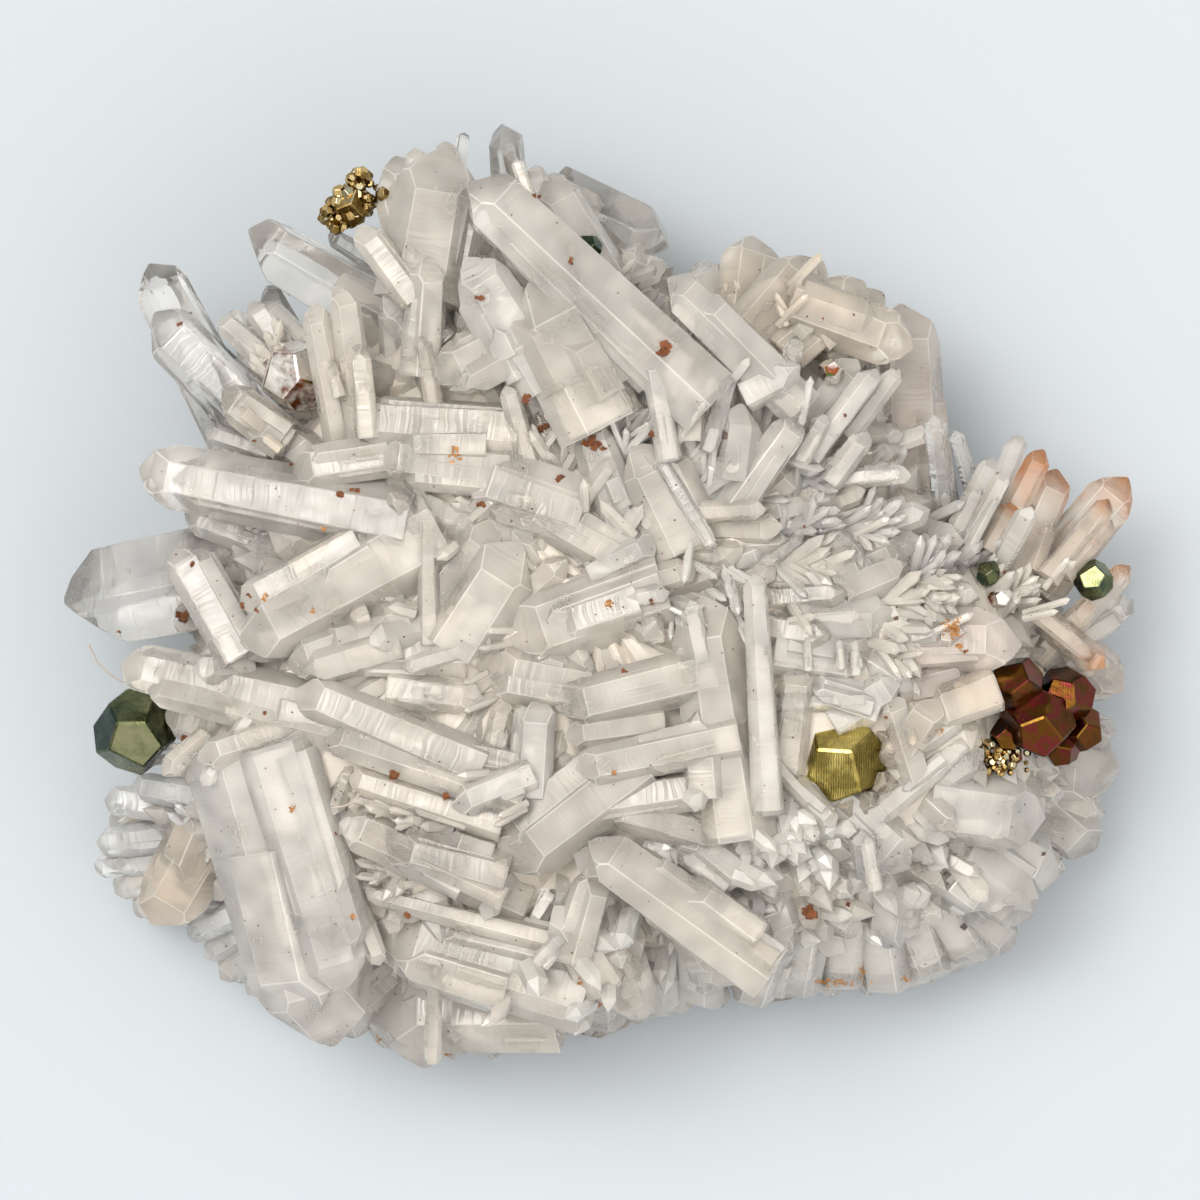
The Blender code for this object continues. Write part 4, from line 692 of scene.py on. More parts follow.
def quartz_crystal(pile, cores, crystal, dice, shift):
    """Adds one crystal: a block cut to six sides and six point faces, three large and three small."""
    tip, root = Vector(crystal.tip), Vector(crystal.root)
    if crystal.name in SUNK_ROOTS:
        root.z = min(root.z, mound_height(root.x, root.y) - 0.2 * crystal.depth)
    length = (tip - root).length
    reach = crystal.width * math.cos(math.radians(30)) / 2
    grown = bmesh.new()
    bmesh.ops.create_cube(grown, size=1.0)
    block = Matrix.Diagonal((3 * crystal.width, 3 * crystal.width, length, 1))
    grown.transform(Matrix.Translation((0, 0, length / 2)) @ block)
    lean = Vector((dice.uniform(-POINT_LEAN, POINT_LEAN), dice.uniform(-POINT_LEAN, POINT_LEAN), 0)) * reach
    for k in range(6):
        turn = math.radians(90 + 60 * k + crystal.roll)
        outward = aimed(turn, 0)
        side_at = reach * dice.uniform(*SIDE_RANGE)
        side_normal = outward * math.cos(TAPER) + UP * math.sin(TAPER)
        cut_face(grown, outward * side_at + UP * length * 0.4, side_normal)
        small = dice.uniform(*(SMALL_FACE_RANGE if k % 2 else LARGE_FACE_RANGE))
        normal = outward * math.sin(POINT_ANGLE) + UP * math.cos(POINT_ANGLE)
        cut_face(grown, UP * length + lean + normal * small * reach, normal)
    squeeze = Matrix.Diagonal((1, crystal.depth / crystal.width, 1, 1))
    place = Matrix.Translation(root + shift) @ axis_frame(tip, root) @ squeeze
    place = Matrix.Translation(inside_box([place @ vertex.co for vertex in grown.verts])) @ place
    cloudy_core(cores, grown, crystal, length, place, dice.random())
    new = bevelled(grown, min(BEVEL, BEVEL_SHARE * crystal.width))
    along = [vertex.co.z for vertex in grown.verts]
    rise = [z / length for z in along]
    edge = [1.0 if face in new else 0.0 for face in grown.faces]
    grown.transform(place)
    grown.verts.index_update()
    look = LOOKS[crystal.look]
    stained = crystal.look == "rust"
    host = [sum(rise[vertex.index] for vertex in face.verts) < 0.02 * len(face.verts) for face in grown.faces]
    pile.add(
        [tuple(vertex.co) for vertex in grown.verts],
        [[vertex.index for vertex in face.verts] for face in grown.faces],
        look.tint, along=along, edge=edge, host=host,
        stain=[value if stained else 0.0 for value in rise],
    )
    grown.free()


def mound_reach(height):
    """How far out the mound's flank is at a height, as a share of its outline."""
    levels = MOUND_PROFILE + MOUND_UNDERCUT
    for (s0, z0), (s1, z1) in zip(levels, levels[1:]):
        if z1 <= height <= z0:
            return s0 + (s1 - s0) * (z0 - height) / (z0 - z1)
    return levels[-1][0]


def wall_crystals(pile, dice, shift):
    """Short crystals all over the flank, so that no side of the mound is bare."""
    for level in WALL_LEVELS:
        for _ in range(WALL_COUNT):
            angle = dice.uniform(-math.pi, math.pi)
            reach = mound_reach(level) * MOUND_SHARE * outline_radius(angle)
            place = aimed(angle, 0) * reach + UP * (level + dice.uniform(-1, 1))
            heading = angle + dice.uniform(-WALL_SWING, WALL_SWING)
            ahead = aimed(heading, math.radians(dice.uniform(*WALL_RISE)))
            length, width = dice.uniform(*WALL_LENGTH), dice.uniform(*WALL_WIDTH)
            root = place - ahead * 0.55 * length
            tip = root + ahead * length
            inside = math.hypot(tip.x, tip.y) < WALL_EDGE * outline_radius(math.atan2(tip.y, tip.x))
            if not inside or min(tip.z, root.z) < ROCK_TOP + width / 2 or covers_pyrite([tip]):
                continue
            tint = LOOKS[dice.choice(WALL_LOOKS)].tint
            needle(pile, root + shift, tip + shift, width, dice.uniform(0, math.tau), tint)


def covers_pyrite(points, room=0.6):
    """Whether any of the points lies over one of the pyrites, seen from above."""
    for pyrite in list(PYRITE_SINGLES.values()) + RIGHT_CLUSTER:
        for point in points:
            across = math.hypot(point[0] - pyrite.centre[0], point[1] - pyrite.centre[1])
            if across < pyrite.inradius + room:
                return True
    return False


def companions(row, dice):
    """Crystals grown side by side with a main one, which break its sides into steps."""
    tip, root = Vector(row.tip), Vector(row.root)
    axis = tip - root
    side = axis.cross(UP).normalized()
    for k in range(3 if row.width > COMPANION_WIDTH else 1):
        slide = side * dice.uniform(-COMPANION_ASIDE, COMPANION_ASIDE) * row.width
        slide += UP * dice.uniform(*COMPANION_UP) * row.depth
        start, end = dice.uniform(*COMPANION_START), dice.uniform(*COMPANION_END)
        swing = side * dice.uniform(-COMPANION_LEAN, COMPANION_LEAN) * row.width
        width = row.width * dice.uniform(*COMPANION_SHARE)
        ends = [root + axis * share + slide for share in (start, (start + end) / 2, end)]
        if covers_pyrite(ends, width * 0.5):
            continue
        yield row._replace(
            name=f"{row.name}_{k}", root=ends[0], tip=ends[2] + swing, width=width, depth=width * 0.85,
            roll=60 * dice.random(),
        )


def needle(pile, root, tip, width, turn, tint):
    """Adds one small crystal straight from its corners: six sides and a six-faced point."""
    axis = tip - root
    length = axis.length
    matrix = axis_frame(tip, root)
    point = min(0.75 * width, 0.45 * length)
    verts, along = [], []
    for level, radius in ((0.0, 0.52 * width), (length - point, 0.5 * width)):
        for k in range(6):
            local = aimed(turn + math.tau * k / 6, 0) * radius + UP * level
            verts.append(tuple(matrix @ local + root))
            along.append(level)
    apex = aimed(turn, 0) * 0.12 * width + UP * length
    verts.append(tuple(matrix @ apex + root))
    along.append(length)
    faces = [[k, (k + 1) % 6, 6 + (k + 1) % 6, 6 + k] for k in range(6)]
    faces += [[6 + k, 6 + (k + 1) % 6, 12] for k in range(6)]
    faces.append([5, 4, 3, 2, 1, 0])
    nudge = inside_box(verts)
    verts = [tuple(Vector(corner) + nudge) for corner in verts]
    pile.add(verts, faces, tint, along=along)


def mound(pile, dice, shift):
    """The solid quartz under the crystals, rough all over."""
    profile = []
    levels = MOUND_PROFILE + MOUND_UNDERCUT
    for (s0, z0), (s1, z1) in zip(levels, levels[1:]):
        for part in (0.25, 0.5, 0.75, 1.0):
            profile.append((s0 + (s1 - s0) * part, z0 + (z1 - z0) * part))
    verts = [tuple(Vector((0, 0, MOUND_PROFILE[0][1])) + shift)]
    for ring, (share, height) in enumerate(profile):
        low = height < ROCK_TOP + 1
        for k in range(MOUND_SIDES):
            angle = wrapped(math.tau * (k + 0.5 * (ring % 2)) / MOUND_SIDES - math.pi)
            rough = 0.0 if low else dice.uniform(-MOUND_ROUGH[0], MOUND_ROUGH[0])
            reach = share * MOUND_SHARE * outline_radius(angle) + rough
            level = height + (0.0 if low else dice.uniform(-MOUND_ROUGH[1], MOUND_ROUGH[1]))
            verts.append(tuple(aimed(angle, 0) * reach + UP * level + shift))
    faces = [[0, 1 + k, 1 + (k + 1) % MOUND_SIDES] for k in range(MOUND_SIDES)]
    for ring in range(len(profile) - 1):
        upper = 1 + ring * MOUND_SIDES
        lower = upper + MOUND_SIDES
        for k in range(MOUND_SIDES):
            ahead = (k + 1) % MOUND_SIDES
            faces.append([upper + k, lower + k, lower + ahead])
            faces.append([upper + k, lower + ahead, upper + ahead])
    last = 1 + (len(profile) - 1) * MOUND_SIDES
    faces.append([last + k for k in reversed(range(MOUND_SIDES))])
    host = [True] * (len(faces) - 1) + [False]
    pile.add(verts, faces, MOUND_TINT, host=host)


def rim_crystals(dice):
    """Blunt crystals on the rim that point away from the middle of growth."""
    focus = Vector((*picture_point(*GROWTH_FOCUS), 0))
    for k, (px, py, width, height) in enumerate(RIM_NUBS):
        tip = Vector((*picture_point(px, py), height))
        inward = (focus - tip).to_2d().normalized() * dice.uniform(5.5, 7.5)
        root = tip + Vector((inward.x, inward.y, dice.uniform(1.0, 4.0)))
        look = dice.choice(RIM_LOOKS)
        yield Crystal(f"rim_{k}", look, tip, root, width, width * 0.9, 60 * dice.random())


def skirt_crystals(dice):
    """Crystals that lie round the flank under the ones seen from above."""
    for k in range(SKIRT_COUNT):
        angle = wrapped(math.tau * (k + dice.uniform(-0.25, 0.25)) / SKIRT_COUNT - math.pi)
        reach = outline_radius(angle) * SKIRT_REACH * dice.uniform(0.90, 1.0)
        start = reach - dice.uniform(*SKIRT_LENGTH)
        height = dice.uniform(*SKIRT_HEIGHT)
        width = dice.uniform(*SKIRT_WIDTH)
        swing = angle + dice.uniform(-0.12, 0.12)
        root = aimed(angle, 0) * start + UP * (height + 4)
        tip = aimed(swing, 0) * reach + UP * height
        yield Crystal(f"skirt_{k}", "milk", tip, root, width, width * 0.85, dice.uniform(0, 60))


def pyritohedron(pyrite, shift, bevel):
    """A bmesh body of twelve five-sided faces, the usual form of pyrite."""
    reach = pyrite.inradius
    cube = bmesh.new()
    bmesh.ops.create_cube(cube, size=4 * reach)
    for long_side, short_side in ((0, 1), (1, 2), (2, 0)):
        for s in (-1, 1):
            for t in (-1, 1):
                normal = Vector((0, 0, 0))
                normal[long_side] = 2 * s
                normal[short_side] = t
                normal.normalize()
                cut_face(cube, normal * reach, normal)
    bevelled(cube, bevel)
    first_turn = Vector((0, 1, 2)).normalized().rotation_difference(UP).to_matrix().to_4x4()
    lean_x, lean_y = (math.radians(angle) for angle in pyrite.lean)
    lean = Matrix.Rotation(lean_y, 4, "Y") @ Matrix.Rotation(lean_x, 4, "X")
    turn = Matrix.Rotation(math.radians(pyrite.turn), 4, "Z")
    cube.transform(Matrix.Translation(Vector(pyrite.centre) + shift) @ lean @ turn @ first_turn)
    return cube


def pyrite_object(name, rows, material, collection, shift, nodes=()):
    """One piece of pyrite crystals, which takes the place of the CAD nodes named."""
    whole = bmesh.new()
    held = bpy.data.meshes.new("held")
    for row in rows:
        one = pyritohedron(row, shift, PYRITE_BEVEL_SHARE * row.inradius)
        one.to_mesh(held)
        one.free()
        whole.from_mesh(held)
    bpy.data.meshes.remove(held)
    whole.transform(Matrix.Scale(MM, 4))
    mesh = bpy.data.meshes.new(name)
    whole.to_mesh(mesh)
    whole.free()
    mesh.materials.append(material)
    film_and_top_highlight = mesh.attributes.new("film_and_top_highlight", "FLOAT", "FACE")
    for face in mesh.polygons:
        chance = math.sin(face.normal.dot(FILM_MIX)) * 0.5 + 0.5
        # Random film colour per face, plus a painted highlight: faces that look up are pushed towards the
        # bright end of the coat's colours, as if lit from above
        film_and_top_highlight.data[face.index].value = 0.15 + 0.40 * chance + 0.40 * max(face.normal.z, 0) ** 4
    obj = bpy.data.objects.new(name, mesh)
    collection.objects.link(obj)
    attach(obj, "root")
    if nodes:
        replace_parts(obj, *nodes)
    return obj


def druse_rows(dice):
    """The grains of the druse on the top left shoulder, and the crystal inside it."""
    start, end = Vector(DRUSE_START), Vector(DRUSE_END)
    across = (end - start).cross(UP).normalized()
    for _ in range(DRUSE_GRAINS):
        along = dice.random()
        offset = across * DRUSE_HALF_WIDTH * dice.uniform(-1, 1) * (1.15 - 0.5 * along)
        place = start.lerp(end, along) + offset + Vector((0, 0, dice.uniform(-1.2, 0.9)))
        lean = (dice.uniform(-40, 40), dice.uniform(-40, 40))
        yield Pyrite(place, dice.uniform(*DRUSE_GRAIN), lean, dice.uniform(0, 90))
    yield Pyrite(start.lerp(end, 0.5) - UP * 0.6, DRUSE_HEART, (0, 0), 45)


def crumb_rows(dice):
    """Crumbs of pyrite beside the right cluster."""
    for _ in range(CRUMB_COUNT):
        place = [at + reach * dice.uniform(-1, 1) for at, reach in zip(CRUMBS_MIDDLE, CRUMBS_REACH)]
        lean = (dice.uniform(-50, 50), dice.uniform(-50, 50))
        yield Pyrite(place, dice.uniform(*CRUMB_SIZE), lean, dice.uniform(0, 90))


class Surface:
    """Finds the quartz under a point, and whether small crystals may stand there."""

    def __init__(self, piles):
        verts, faces, host = [], [], []
        for pile in piles:
            start = len(verts)
            verts += pile.verts
            faces += [[start + k for k in face] for face in pile.faces]
            host += pile.host
        self.host = host
        self.tree = BVHTree.FromPolygons(verts, faces)

    def under(self, x, y):
        place, _, index, _ = self.tree.ray_cast(Vector((x, y, 60)), -UP)
        return place, index is not None and self.host[index]


def collar(dice):
    """Stubs of smoky quartz that hold the pyrite in the middle right."""
    held = PYRITE_SINGLES["pyrite_centre"]
    middle = Vector(held.centre)
    for k in range(COLLAR_COUNT):
        outward = aimed(math.tau * (k + dice.uniform(-0.2, 0.2)) / COLLAR_COUNT, 0)
        tip = middle + outward * (held.inradius + dice.uniform(*COLLAR_ROOM))
        tip += UP * dice.uniform(*COLLAR_HEIGHT)
        root = middle + outward * (held.inradius + 0.6) - UP * 4
        width = dice.uniform(*COLLAR_WIDTH)
        yield Crystal(f"collar_{k}", "brown", tip, root, width, width, 60 * dice.random())


def fill_bare_mound(pile, cores, surface, dice, shift):
    """Medium crystals wherever the mound still shows, all pointing away from the middle of growth."""
    placed = []
    for k in range(FILL_TRIES):
        if len(placed) >= FILL_COUNT:
            break
        px, py = dice.uniform(*FILL_COLUMNS), dice.uniform(*FILL_ROWS)
        place, host = surface.under(*picture_point(px, py))
        if not host or any((place - other).length < FILL_SPACING for other in placed):
            continue
        heading = math.atan2(GROWTH_FOCUS[1] - py, px - GROWTH_FOCUS[0])
        heading += dice.uniform(-FILL_SWING, FILL_SWING)
        ahead = aimed(heading, math.radians(dice.uniform(*FILL_RISE)))
        length, width = dice.uniform(*FILL_LENGTH), dice.uniform(*FILL_WIDTH)
        root = place - ahead * 0.45 * length - UP * 0.3 * width
        tip = root + ahead * length
        if math.hypot(tip.x, tip.y) > FILL_EDGE * outline_radius(math.atan2(tip.y, tip.x)):
            continue
        if covers_pyrite([tip - shift, root - shift, place - shift], width * 0.5):
            continue
        placed.append(place)
        look, roll = dice.choice(FILL_LOOKS), 60 * dice.random()
        row = Crystal(f"fill_{k}", look, tip - shift, root - shift, width, width * 0.85, roll)
        quartz_crystal(pile, cores, row, dice, shift)


def crowd_zones(white, clear, surface, dice):
    """Small crystals in the gaps of each zone. They stand on the mound and not on a large face."""
    low, high = CAD_BOX
    for zone in ZONES:
        pile = clear if zone.look in CLEAR_LOOKS else white
        made = 0
        for _ in range(zone.count * ZONE_TRIES):
            if made >= zone.count:
                break
            angle, share = dice.uniform(0, math.tau), math.sqrt(dice.random())
            px = zone.middle[0] + zone.reach[0] * share * math.cos(angle)
            py = zone.middle[1] + zone.reach[1] * share * math.sin(angle)
            place, host = surface.under(*picture_point(px, py))
            if not host:
                continue
            heading = math.radians(zone.aim + dice.uniform(-zone.spread, zone.spread))
            ahead = aimed(heading, math.radians(dice.uniform(*zone.rise)))
            length, width = dice.uniform(*zone.length), dice.uniform(*zone.width)
            root = place - ahead * 0.25 * length
            tip = root + ahead * length
            if covers_pyrite([tip]):
                continue
            if not (low[0] < tip.x * MM < high[0] and low[1] < tip.y * MM < high[1] and tip.z * MM < high[2]):
                continue
            tint = shaded(LOOKS[zone.look].tint, dice.uniform(*ZONE_SHADES))
            needle(pile, root, tip, width, dice.uniform(0, math.tau), tint)
            made += 1


def chunk(pile, place, size, dice, tint):
    """Adds one small broken grain: a box with its corners knocked about."""
    corners = []
    for x in (-1, 1):
        for y in (-1, 1):
            for z in (-1, 1):
                knock = Vector((dice.uniform(0.45, 1.1), dice.uniform(0.45, 1.1), dice.uniform(0.4, 0.9)))
                corners.append(Vector((x * knock.x, y * knock.y, z * knock.z)) * size / 2)
    around, tipped = dice.uniform(0, math.tau), dice.uniform(-0.5, 0.5)
    turn = Matrix.Rotation(around, 3, "Z") @ Matrix.Rotation(tipped, 3, "X")
    verts = [tuple(turn @ corner + place) for corner in corners]
    faces = [[0, 1, 3, 2], [4, 6, 7, 5], [0, 4, 5, 1], [2, 3, 7, 6], [0, 2, 6, 4], [1, 5, 7, 3]]
    pile.add(verts, faces, tint)


def fibre(pile, pixels, shift):
    """Adds one thin caught thread as a chain of short rods."""
    points = [Vector((*picture_point(px, py), height)) + shift for px, py, height in pixels]
    for start, end in zip(points, points[1:]):
        needle(pile, start, end + (end - start) * 0.05, FIBRE_WIDTH, 0.0, FIBRE_TINT)


def lay_grain(pile, place, scale, kind, dice):
    """Lays one grain of random size and tone on the quartz, where there is any."""
    if place is not None:
        tone = dice.uniform(*kind.tones)
        chunk(pile, place, scale * dice.uniform(*kind.sizes), dice, shaded(kind.tint, tone))


def scatter_grains(surface, dice):
    """Rust grains, dark grains, ochre flakes and fine specks, each laid on the quartz under it."""
    grains, specks = Pile(), Pile()
    for px, py, size in RUST_GRAINS:
        x, y = picture_point(px, py)
        for _ in range(max(3, int(size * 7))):
            place, _ = surface.under(x + dice.gauss(0, size * 0.20), y + dice.gauss(0, size * 0.20))
            lay_grain(grains, place, size, RUST, dice)
    for px, py, size in DARK_GRAINS:
        place, _ = surface.under(*picture_point(px, py))
        if place is not None:
            chunk(grains, place, size, dice, DARK_TINT)
    for px, py, rx, ry, count in OCHRE_STAINS:
        x, y = picture_point(px, py)
        for _ in range(count):
            place, _ = surface.under(x + dice.gauss(0, rx * 0.5), y + dice.gauss(0, ry * 0.5))
            lay_grain(grains, place, 1.0, OCHRE, dice)
    for _ in range(SPECK_COUNT):
        place, _ = surface.under(*(dice.uniform(-reach, reach) for reach in SPECK_REACH))
        lay_grain(specks, place, 1.0, SPECK, dice)
    return grains, specks


# Materials


def new_material(name):
    made = bpy.data.materials.new(name)
    made.use_nodes = True
    tree = made.node_tree
    return made, tree, tree.nodes["Principled BSDF"]


def attribute(tree, name, output="Fac"):
    node = tree.nodes.new("ShaderNodeAttribute")
    node.attribute_name = name
    return node.outputs[output]


def noise_node(tree, scale, detail, rough):
    node = tree.nodes.new("ShaderNodeTexNoise")
    node.inputs["Scale"].default_value = scale
    node.inputs["Detail"].default_value = detail
    node.inputs["Roughness"].default_value = rough
    return node


def noise_at(tree, place, scale, detail, rough):
    node = noise_node(tree, scale, detail, rough)
    tree.links.new(place, node.inputs["Vector"])
    return node.outputs["Fac"]


def remap(tree, value, low, high, out_low, out_high):
    node = tree.nodes.new("ShaderNodeMapRange")
    tree.links.new(value, node.inputs["Value"])
    for label, number in (("From Min", low), ("From Max", high), ("To Min", out_low), ("To Max", out_high)):
        node.inputs[label].default_value = number
    return node.outputs["Result"]


def maths(tree, operation, first, second):
    node = tree.nodes.new("ShaderNodeMath")
    node.operation = operation
    for socket, value in ((node.inputs[0], first), (node.inputs[1], second)):
        if isinstance(value, (int, float)):
            socket.default_value = value
        else:
            tree.links.new(value, socket)
    return node.outputs[0]


def mixed(tree, factor, first, second):
    node = tree.nodes.new("ShaderNodeMix")
    node.data_type = "RGBA"
    if isinstance(factor, (int, float)):
        node.inputs["Factor"].default_value = factor
    else:
        tree.links.new(factor, node.inputs["Factor"])
    for socket, value in ((node.inputs["A"], first), (node.inputs["B"], second)):
        if isinstance(value, tuple):
            socket.default_value = (*value, 1.0)
        else:
            tree.links.new(value, socket)
    return node.outputs["Result"]


def bump(tree, height, strength, distance):
    node = tree.nodes.new("ShaderNodeBump")
    node.inputs["Strength"].default_value = strength
    node.inputs["Distance"].default_value = distance
    tree.links.new(height, node.inputs["Height"])
    return node.outputs["Normal"]


def object_coordinates(tree):
    return tree.nodes.new("ShaderNodeTexCoord").outputs["Object"]


def quartz_surface(tree, shader):
    """Shared by the clear and the milky outsides: growth lines across the sides and uneven faces."""
    place = object_coordinates(tree)
    along = attribute(tree, "along")
    swell = noise_at(tree, place, 330, 1, 0.5)
    lines_at = maths(tree, "ADD", maths(tree, "MULTIPLY", along, 2.2), maths(tree, "MULTIPLY", swell, 3.0))
    lines = noise_node(tree, 1.0, 1, 0.5)
    lines.noise_dimensions = "1D"
    tree.links.new(lines_at, lines.inputs["W"])
    height = maths(tree, "ADD", maths(tree, "MULTIPLY", lines.outputs["Fac"], GROWTH_LINES), swell)
    tree.links.new(bump(tree, height, 0.6, 0.0004), shader.inputs["Normal"])
    return place


def cloudy_quartz():
    """The milky inside of the quartz, which scatters all light."""
    made, tree, shader = new_material("quartz_cloudy")
    place = object_coordinates(tree)
    cloud = noise_at(tree, place, 170, 2, 0.65)
    tint = attribute(tree, "tint", "Color")
    pale = mixed(tree, remap(tree, cloud, 0.40, 0.62, 0.0, 0.25), tint, PALE_CLOUD)
    stain = attribute(tree, "stain")
    patch = noise_at(tree, place, 420, 2, 0.65)
    rust = remap(tree, maths(tree, "ADD", stain, patch), 0.95, 1.30, 0.0, 1.0)
    tree.links.new(mixed(tree, rust, pale, STAIN_INSIDE), shader.inputs["Base Color"])
    tree.links.new(remap(tree, cloud, 0.3, 0.7, 0.4, 0.7), shader.inputs["Roughness"])
    grain = noise_at(tree, place, 900, 1, 0.7)
    tree.links.new(bump(tree, grain, 0.35, 0.0003), shader.inputs["Normal"])
    return made


def clear_quartz(name, clearest, cloudiest, tinted):
    """The outside of the crystals, which lets through the shares of light between the two given."""
    made, tree, shader = new_material(name)
    place = quartz_surface(tree, shader)
    frost = noise_at(tree, place, 200, 1, 0.6)
    tint = attribute(tree, "tint", "Color")
    base = mixed(tree, 1.0 - tinted, tint, PALE_FACE)
    stain = attribute(tree, "stain")
    rust = remap(tree, maths(tree, "ADD", stain, frost), 1.22, 1.55, 0.0, 0.9)
    stained = mixed(tree, rust, base, STAIN_OUTSIDE)
    # Painted highlight on the bevelled edges: a whiter colour here, and further down less light let through
    edge = attribute(tree, "edge")
    edge_highlighted = mixed(tree, maths(tree, "MULTIPLY", edge, EDGE_HIGHLIGHT_MIX), stained, EDGE_HIGHLIGHT_COLOUR)
    tree.links.new(edge_highlighted, shader.inputs["Base Color"])
    roughest = 0.08 + 0.25 * (1.0 - cloudiest)
    tree.links.new(remap(tree, frost, 0.25, 0.75, 0.04, roughest), shader.inputs["Roughness"])
    shader.inputs["IOR"].default_value = QUARTZ_IOR
    clear = remap(tree, frost, 0.25, 0.75, clearest, cloudiest)
    highlight_clouding = maths(tree, "MULTIPLY", edge, EDGE_HIGHLIGHT_CLOUD)
    tree.links.new(maths(tree, "SUBTRACT", clear, highlight_clouding), shader.inputs["Transmission Weight"])
    return made


def pyrite_material(name, colours, roughness, lines):
    """Tarnished pyrite: each face has its own film colour, lighter on faces that look up as a painted
    highlight where the coat runs from dark to bright, with patches and fine growth lines.
    """
    made, tree, shader = new_material(name)
    place = object_coordinates(tree)
    patch = noise_at(tree, place, 420, 3, 0.6)
    film_and_top_highlight = attribute(tree, "film_and_top_highlight")
    ramp = tree.nodes.new("ShaderNodeValToRGB")
    elements = ramp.color_ramp.elements
    while len(elements) < len(colours):
        elements.new(0.5)
    for k, colour in enumerate(colours):
        elements[k].position = 0.12 + 0.76 * k / (len(colours) - 1)
        elements[k].color = (*colour, 1)
    spread = remap(tree, patch, 0.3, 0.7, -0.22, 0.22)
    tree.links.new(maths(tree, "ADD", film_and_top_highlight, spread), ramp.inputs["Fac"])
    tree.links.new(ramp.outputs["Color"], shader.inputs["Base Color"])
    shader.inputs["Metallic"].default_value = 1.0
    fine = noise_at(tree, place, 1500, 3, 0.6)
    rough = remap(tree, fine, 0.3, 0.7, roughness * 0.6, roughness * 1.5)
    tree.links.new(rough, shader.inputs["Roughness"])
    wave = tree.nodes.new("ShaderNodeTexWave")
    wave.inputs["Scale"].default_value = 1300
    wave.inputs["Distortion"].default_value = 3.0
    tree.links.new(place, wave.inputs["Vector"])
    height = maths(tree, "ADD", maths(tree, "MULTIPLY", wave.outputs["Fac"], lines), fine)
    tree.links.new(bump(tree, height, 0.35, 0.0001), shader.inputs["Normal"])
    return made


def grain_material():
    """Small grains and fibres in their own tint, flecked with ochre."""
    made, tree, shader = new_material("mineral_grains")
    place = object_coordinates(tree)
    tint = attribute(tree, "tint", "Color")
    fleck = noise_at(tree, place, 3000, 3, 0.6)
    flecked = mixed(tree, remap(tree, fleck, 0.4, 0.7, 0.0, 0.35), tint, FLECK_TINT)
    tree.links.new(flecked, shader.inputs["Base Color"])
    tree.links.new(remap(tree, fleck, 0.3, 0.7, 0.5, 0.9), shader.inputs["Roughness"])
    tree.links.new(bump(tree, fleck, 0.4, 0.0001), shader.inputs["Normal"])
    return made


def rock_material():
    """Grey-brown matrix in two tones with pale flecks."""
    made, tree, shader = new_material("host_rock_grey")
    place = object_coordinates(tree)
    coarse = noise_at(tree, place, 260, 5, 0.65)
    fine = noise_at(tree, place, 1600, 4, 0.7)
    base = mixed(tree, remap(tree, coarse, 0.35, 0.65, 0, 1), ROCK_DARK, ROCK_LIGHT)
    flecked = mixed(tree, remap(tree, fine, 0.55, 0.7, 0, 0.7), base, ROCK_FLECK)
    tree.links.new(flecked, shader.inputs["Base Color"])
    tree.links.new(remap(tree, fine, 0.3, 0.7, 0.6, 0.95), shader.inputs["Roughness"])
    tree.links.new(bump(tree, fine, 0.5, 0.0003), shader.inputs["Normal"])
    return made


# Floor, light and camera

FLOOR_COLOUR = (0.541, 0.590, 0.638)
FLOOR_HALF_WIDTH_M = 3.0
FLOOR_DROP_M = 0.0002
LENS_MM = 300
SENSOR_MM = 36
VIEW_WIDTH_M = 0.120
VIEW_PLANE_M = 0.022
# Soft lights round the object: direction, how narrow, and strength. Key, ceiling and fill
LIGHTS = [
    ((-0.36, 0.27, 0.89), 30, 10.2),
    ((0, 0, 1), 5, 1.05),
    ((0.60, -0.55, 0.58), 3, 0.95),
]
LIGHT_COLOUR = (1.0, 0.965, 0.92)
ROOM_STRENGTH = 0.42


def make_floor(collection):
    """Pale matt paper under the specimen."""
    floor = bmesh.new()
    bmesh.ops.create_grid(floor, x_segments=1, y_segments=1, size=FLOOR_HALF_WIDTH_M)
    mesh = bpy.data.meshes.new("floor")
    floor.to_mesh(mesh)
    floor.free()
    made, _, shader = new_material("floor_paper")
    shader.inputs["Base Color"].default_value = (*FLOOR_COLOUR, 1)
    shader.inputs["Roughness"].default_value = 0.9
    shader.inputs["Specular IOR Level"].default_value = 0.0
    mesh.materials.append(made)
    obj = bpy.data.objects.new("floor", mesh)
    obj.location.z = -FLOOR_DROP_M
    collection.objects.link(obj)


def make_light():
    """Studio light in the world: an even room with a broad key from the upper left and two weak fills."""
    world = bpy.data.worlds.new("studio")
    bpy.context.scene.world = world
    world.use_nodes = True
    world.cycles.sampling_method = "NONE"
    tree = world.node_tree
    back = tree.nodes["Background"]
    coordinates = tree.nodes.new("ShaderNodeTexCoord").outputs["Generated"]
    strength = ROOM_STRENGTH
    for direction, focus, share in LIGHTS:
        facing = tree.nodes.new("ShaderNodeVectorMath")
        facing.operation = "DOT_PRODUCT"
        tree.links.new(coordinates, facing.inputs[0])
        facing.inputs[1].default_value = Vector(direction).normalized()
        lobe = maths(tree, "POWER", maths(tree, "MAXIMUM", facing.outputs["Value"], 0.0), focus)
        strength = maths(tree, "ADD", maths(tree, "MULTIPLY", lobe, share), strength)
    back.inputs["Color"].default_value = (*LIGHT_COLOUR, 1)
    tree.links.new(strength, back.inputs["Strength"])


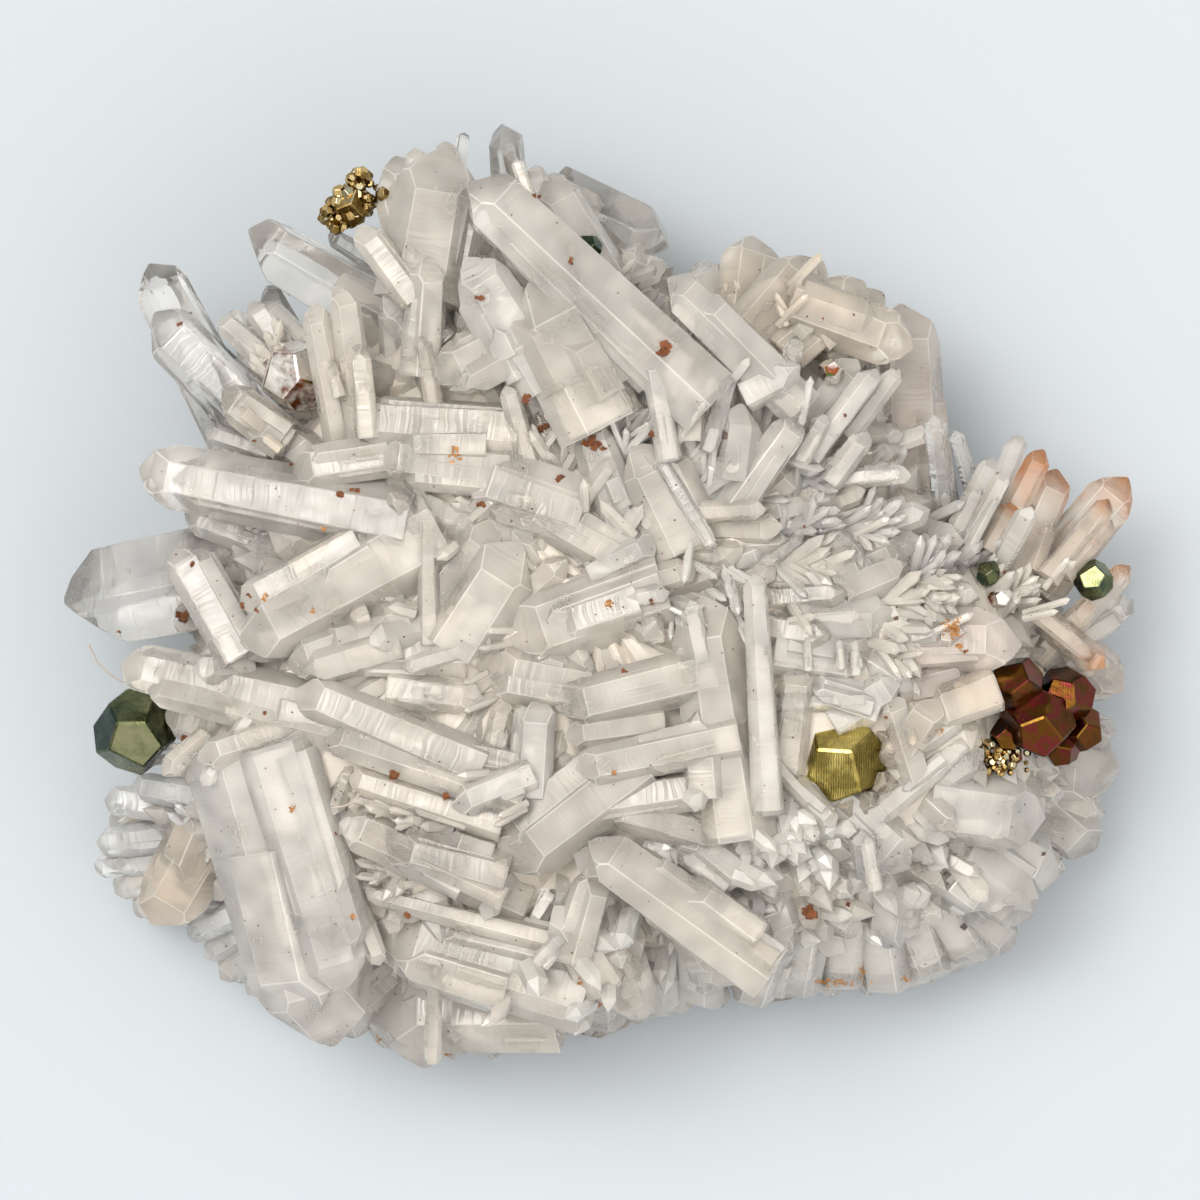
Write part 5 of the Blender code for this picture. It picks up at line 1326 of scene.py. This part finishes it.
def make_camera(shift):
    """Looks straight down, so that the width asked for fills the frame at the height of the crystals."""
    data = bpy.data.cameras.new("camera")
    data.lens = LENS_MM
    data.sensor_width = SENSOR_MM
    height = VIEW_WIDTH_M / (SENSOR_MM / LENS_MM)
    obj = bpy.data.objects.new("camera", data)
    obj.location = (shift.x * MM, shift.y * MM, VIEW_PLANE_M + height)
    data.clip_end = 10
    bpy.context.scene.collection.objects.link(obj)
    bpy.context.scene.camera = obj


def grow_quartz(collection, dice, shift):
    """Builds the quartz pieces and returns the surface that the grains lie on."""
    white, clear, cores = Pile(), Pile(), Pile()
    mound(cores, dice, shift)
    for row in NAMED_CRYSTALS + list(skirt_crystals(dice)) + list(rim_crystals(dice)) + list(collar(dice)):
        quartz_crystal(clear if row.look in CLEAR_LOOKS else white, cores, row, dice, shift)
    for main_row in NAMED_CRYSTALS:
        if main_row.look in CLEAR_LOOKS:
            continue
        for row in companions(main_row, dice):
            quartz_crystal(white, cores, row, dice, shift)
    wall_crystals(white, dice, shift)
    fill_bare_mound(white, cores, Surface([white, clear, cores]), dice, shift)
    small_white, small_clear = Pile(), Pile()
    crowd_zones(small_white, small_clear, Surface([white, clear, cores]), dice)

    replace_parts(cores.build("quartz_cloudy_cores", cloudy_quartz(), collection), "quartz_cluster")
    outsides = (white, clear, small_white, small_clear)
    for pile, (name, *looks) in zip(outsides, OUTSIDES):
        pile.build(name, clear_quartz(*looks), collection)
    return Surface(outsides)


def place_pyrite(collection, dice, shift):
    """Builds each pyrite on the place of its CAD node, and the crumbs beside the right cluster."""
    coats = {name: pyrite_material(name, *coat) for name, coat in COATS.items()}
    brassy = coats["pyrite_brassy"]
    for name, row in PYRITE_SINGLES.items():
        pyrite_object(name + "_look", [row], coats[SINGLE_COATS[name]], collection, shift, [name])
    pyrite_object(
        "pyrite_right_cluster_look", RIGHT_CLUSTER, coats["pyrite_rainbow"], collection, shift,
        ["pyrite_right_cluster"],
    )
    pyrite_object("pyrite_crumbs", crumb_rows(dice), brassy, collection, shift)
    pyrite_object("pyrite_top_druse_look", druse_rows(dice), brassy, collection, shift, ["pyrite_top_druse"])


def main():
    scene = bpy.context.scene
    scene.view_settings.view_transform = "Standard"
    scene.cycles.max_bounces = 9
    scene.cycles.transmission_bounces = 7
    scene.cycles.glossy_bounces = 2
    scene.cycles.diffuse_bounces = 4
    specimen = bpy.data.collections.new("rainbow_pyrite_on_quartz")
    scene.collection.children.link(specimen)
    low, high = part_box("pyrite_centre")
    middle = [(a + b) / 2 / MM for a, b in zip(low, high)]
    centre = PYRITE_SINGLES["pyrite_centre"].centre
    shift = Vector((middle[0] - centre[0], middle[1] - centre[1], 0))

    dice = random.Random(SEED)
    surface = grow_quartz(specimen, dice, shift)
    grains, specks = scatter_grains(surface, dice)
    grains.build("rust_grains", grain_material(), specimen)
    for pixels in FIBRES:
        fibre(specks, pixels, shift)
    specks.build("dark_specks", grain_material(), specimen)
    place_pyrite(specimen, dice, shift)
    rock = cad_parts["host_rock"]
    for slot in rock.material_slots:
        slot.material = None
    rock.data.materials.clear()
    rock.data.materials.append(rock_material())

    make_floor(scene.collection)
    make_light()
    make_camera(shift)


main()
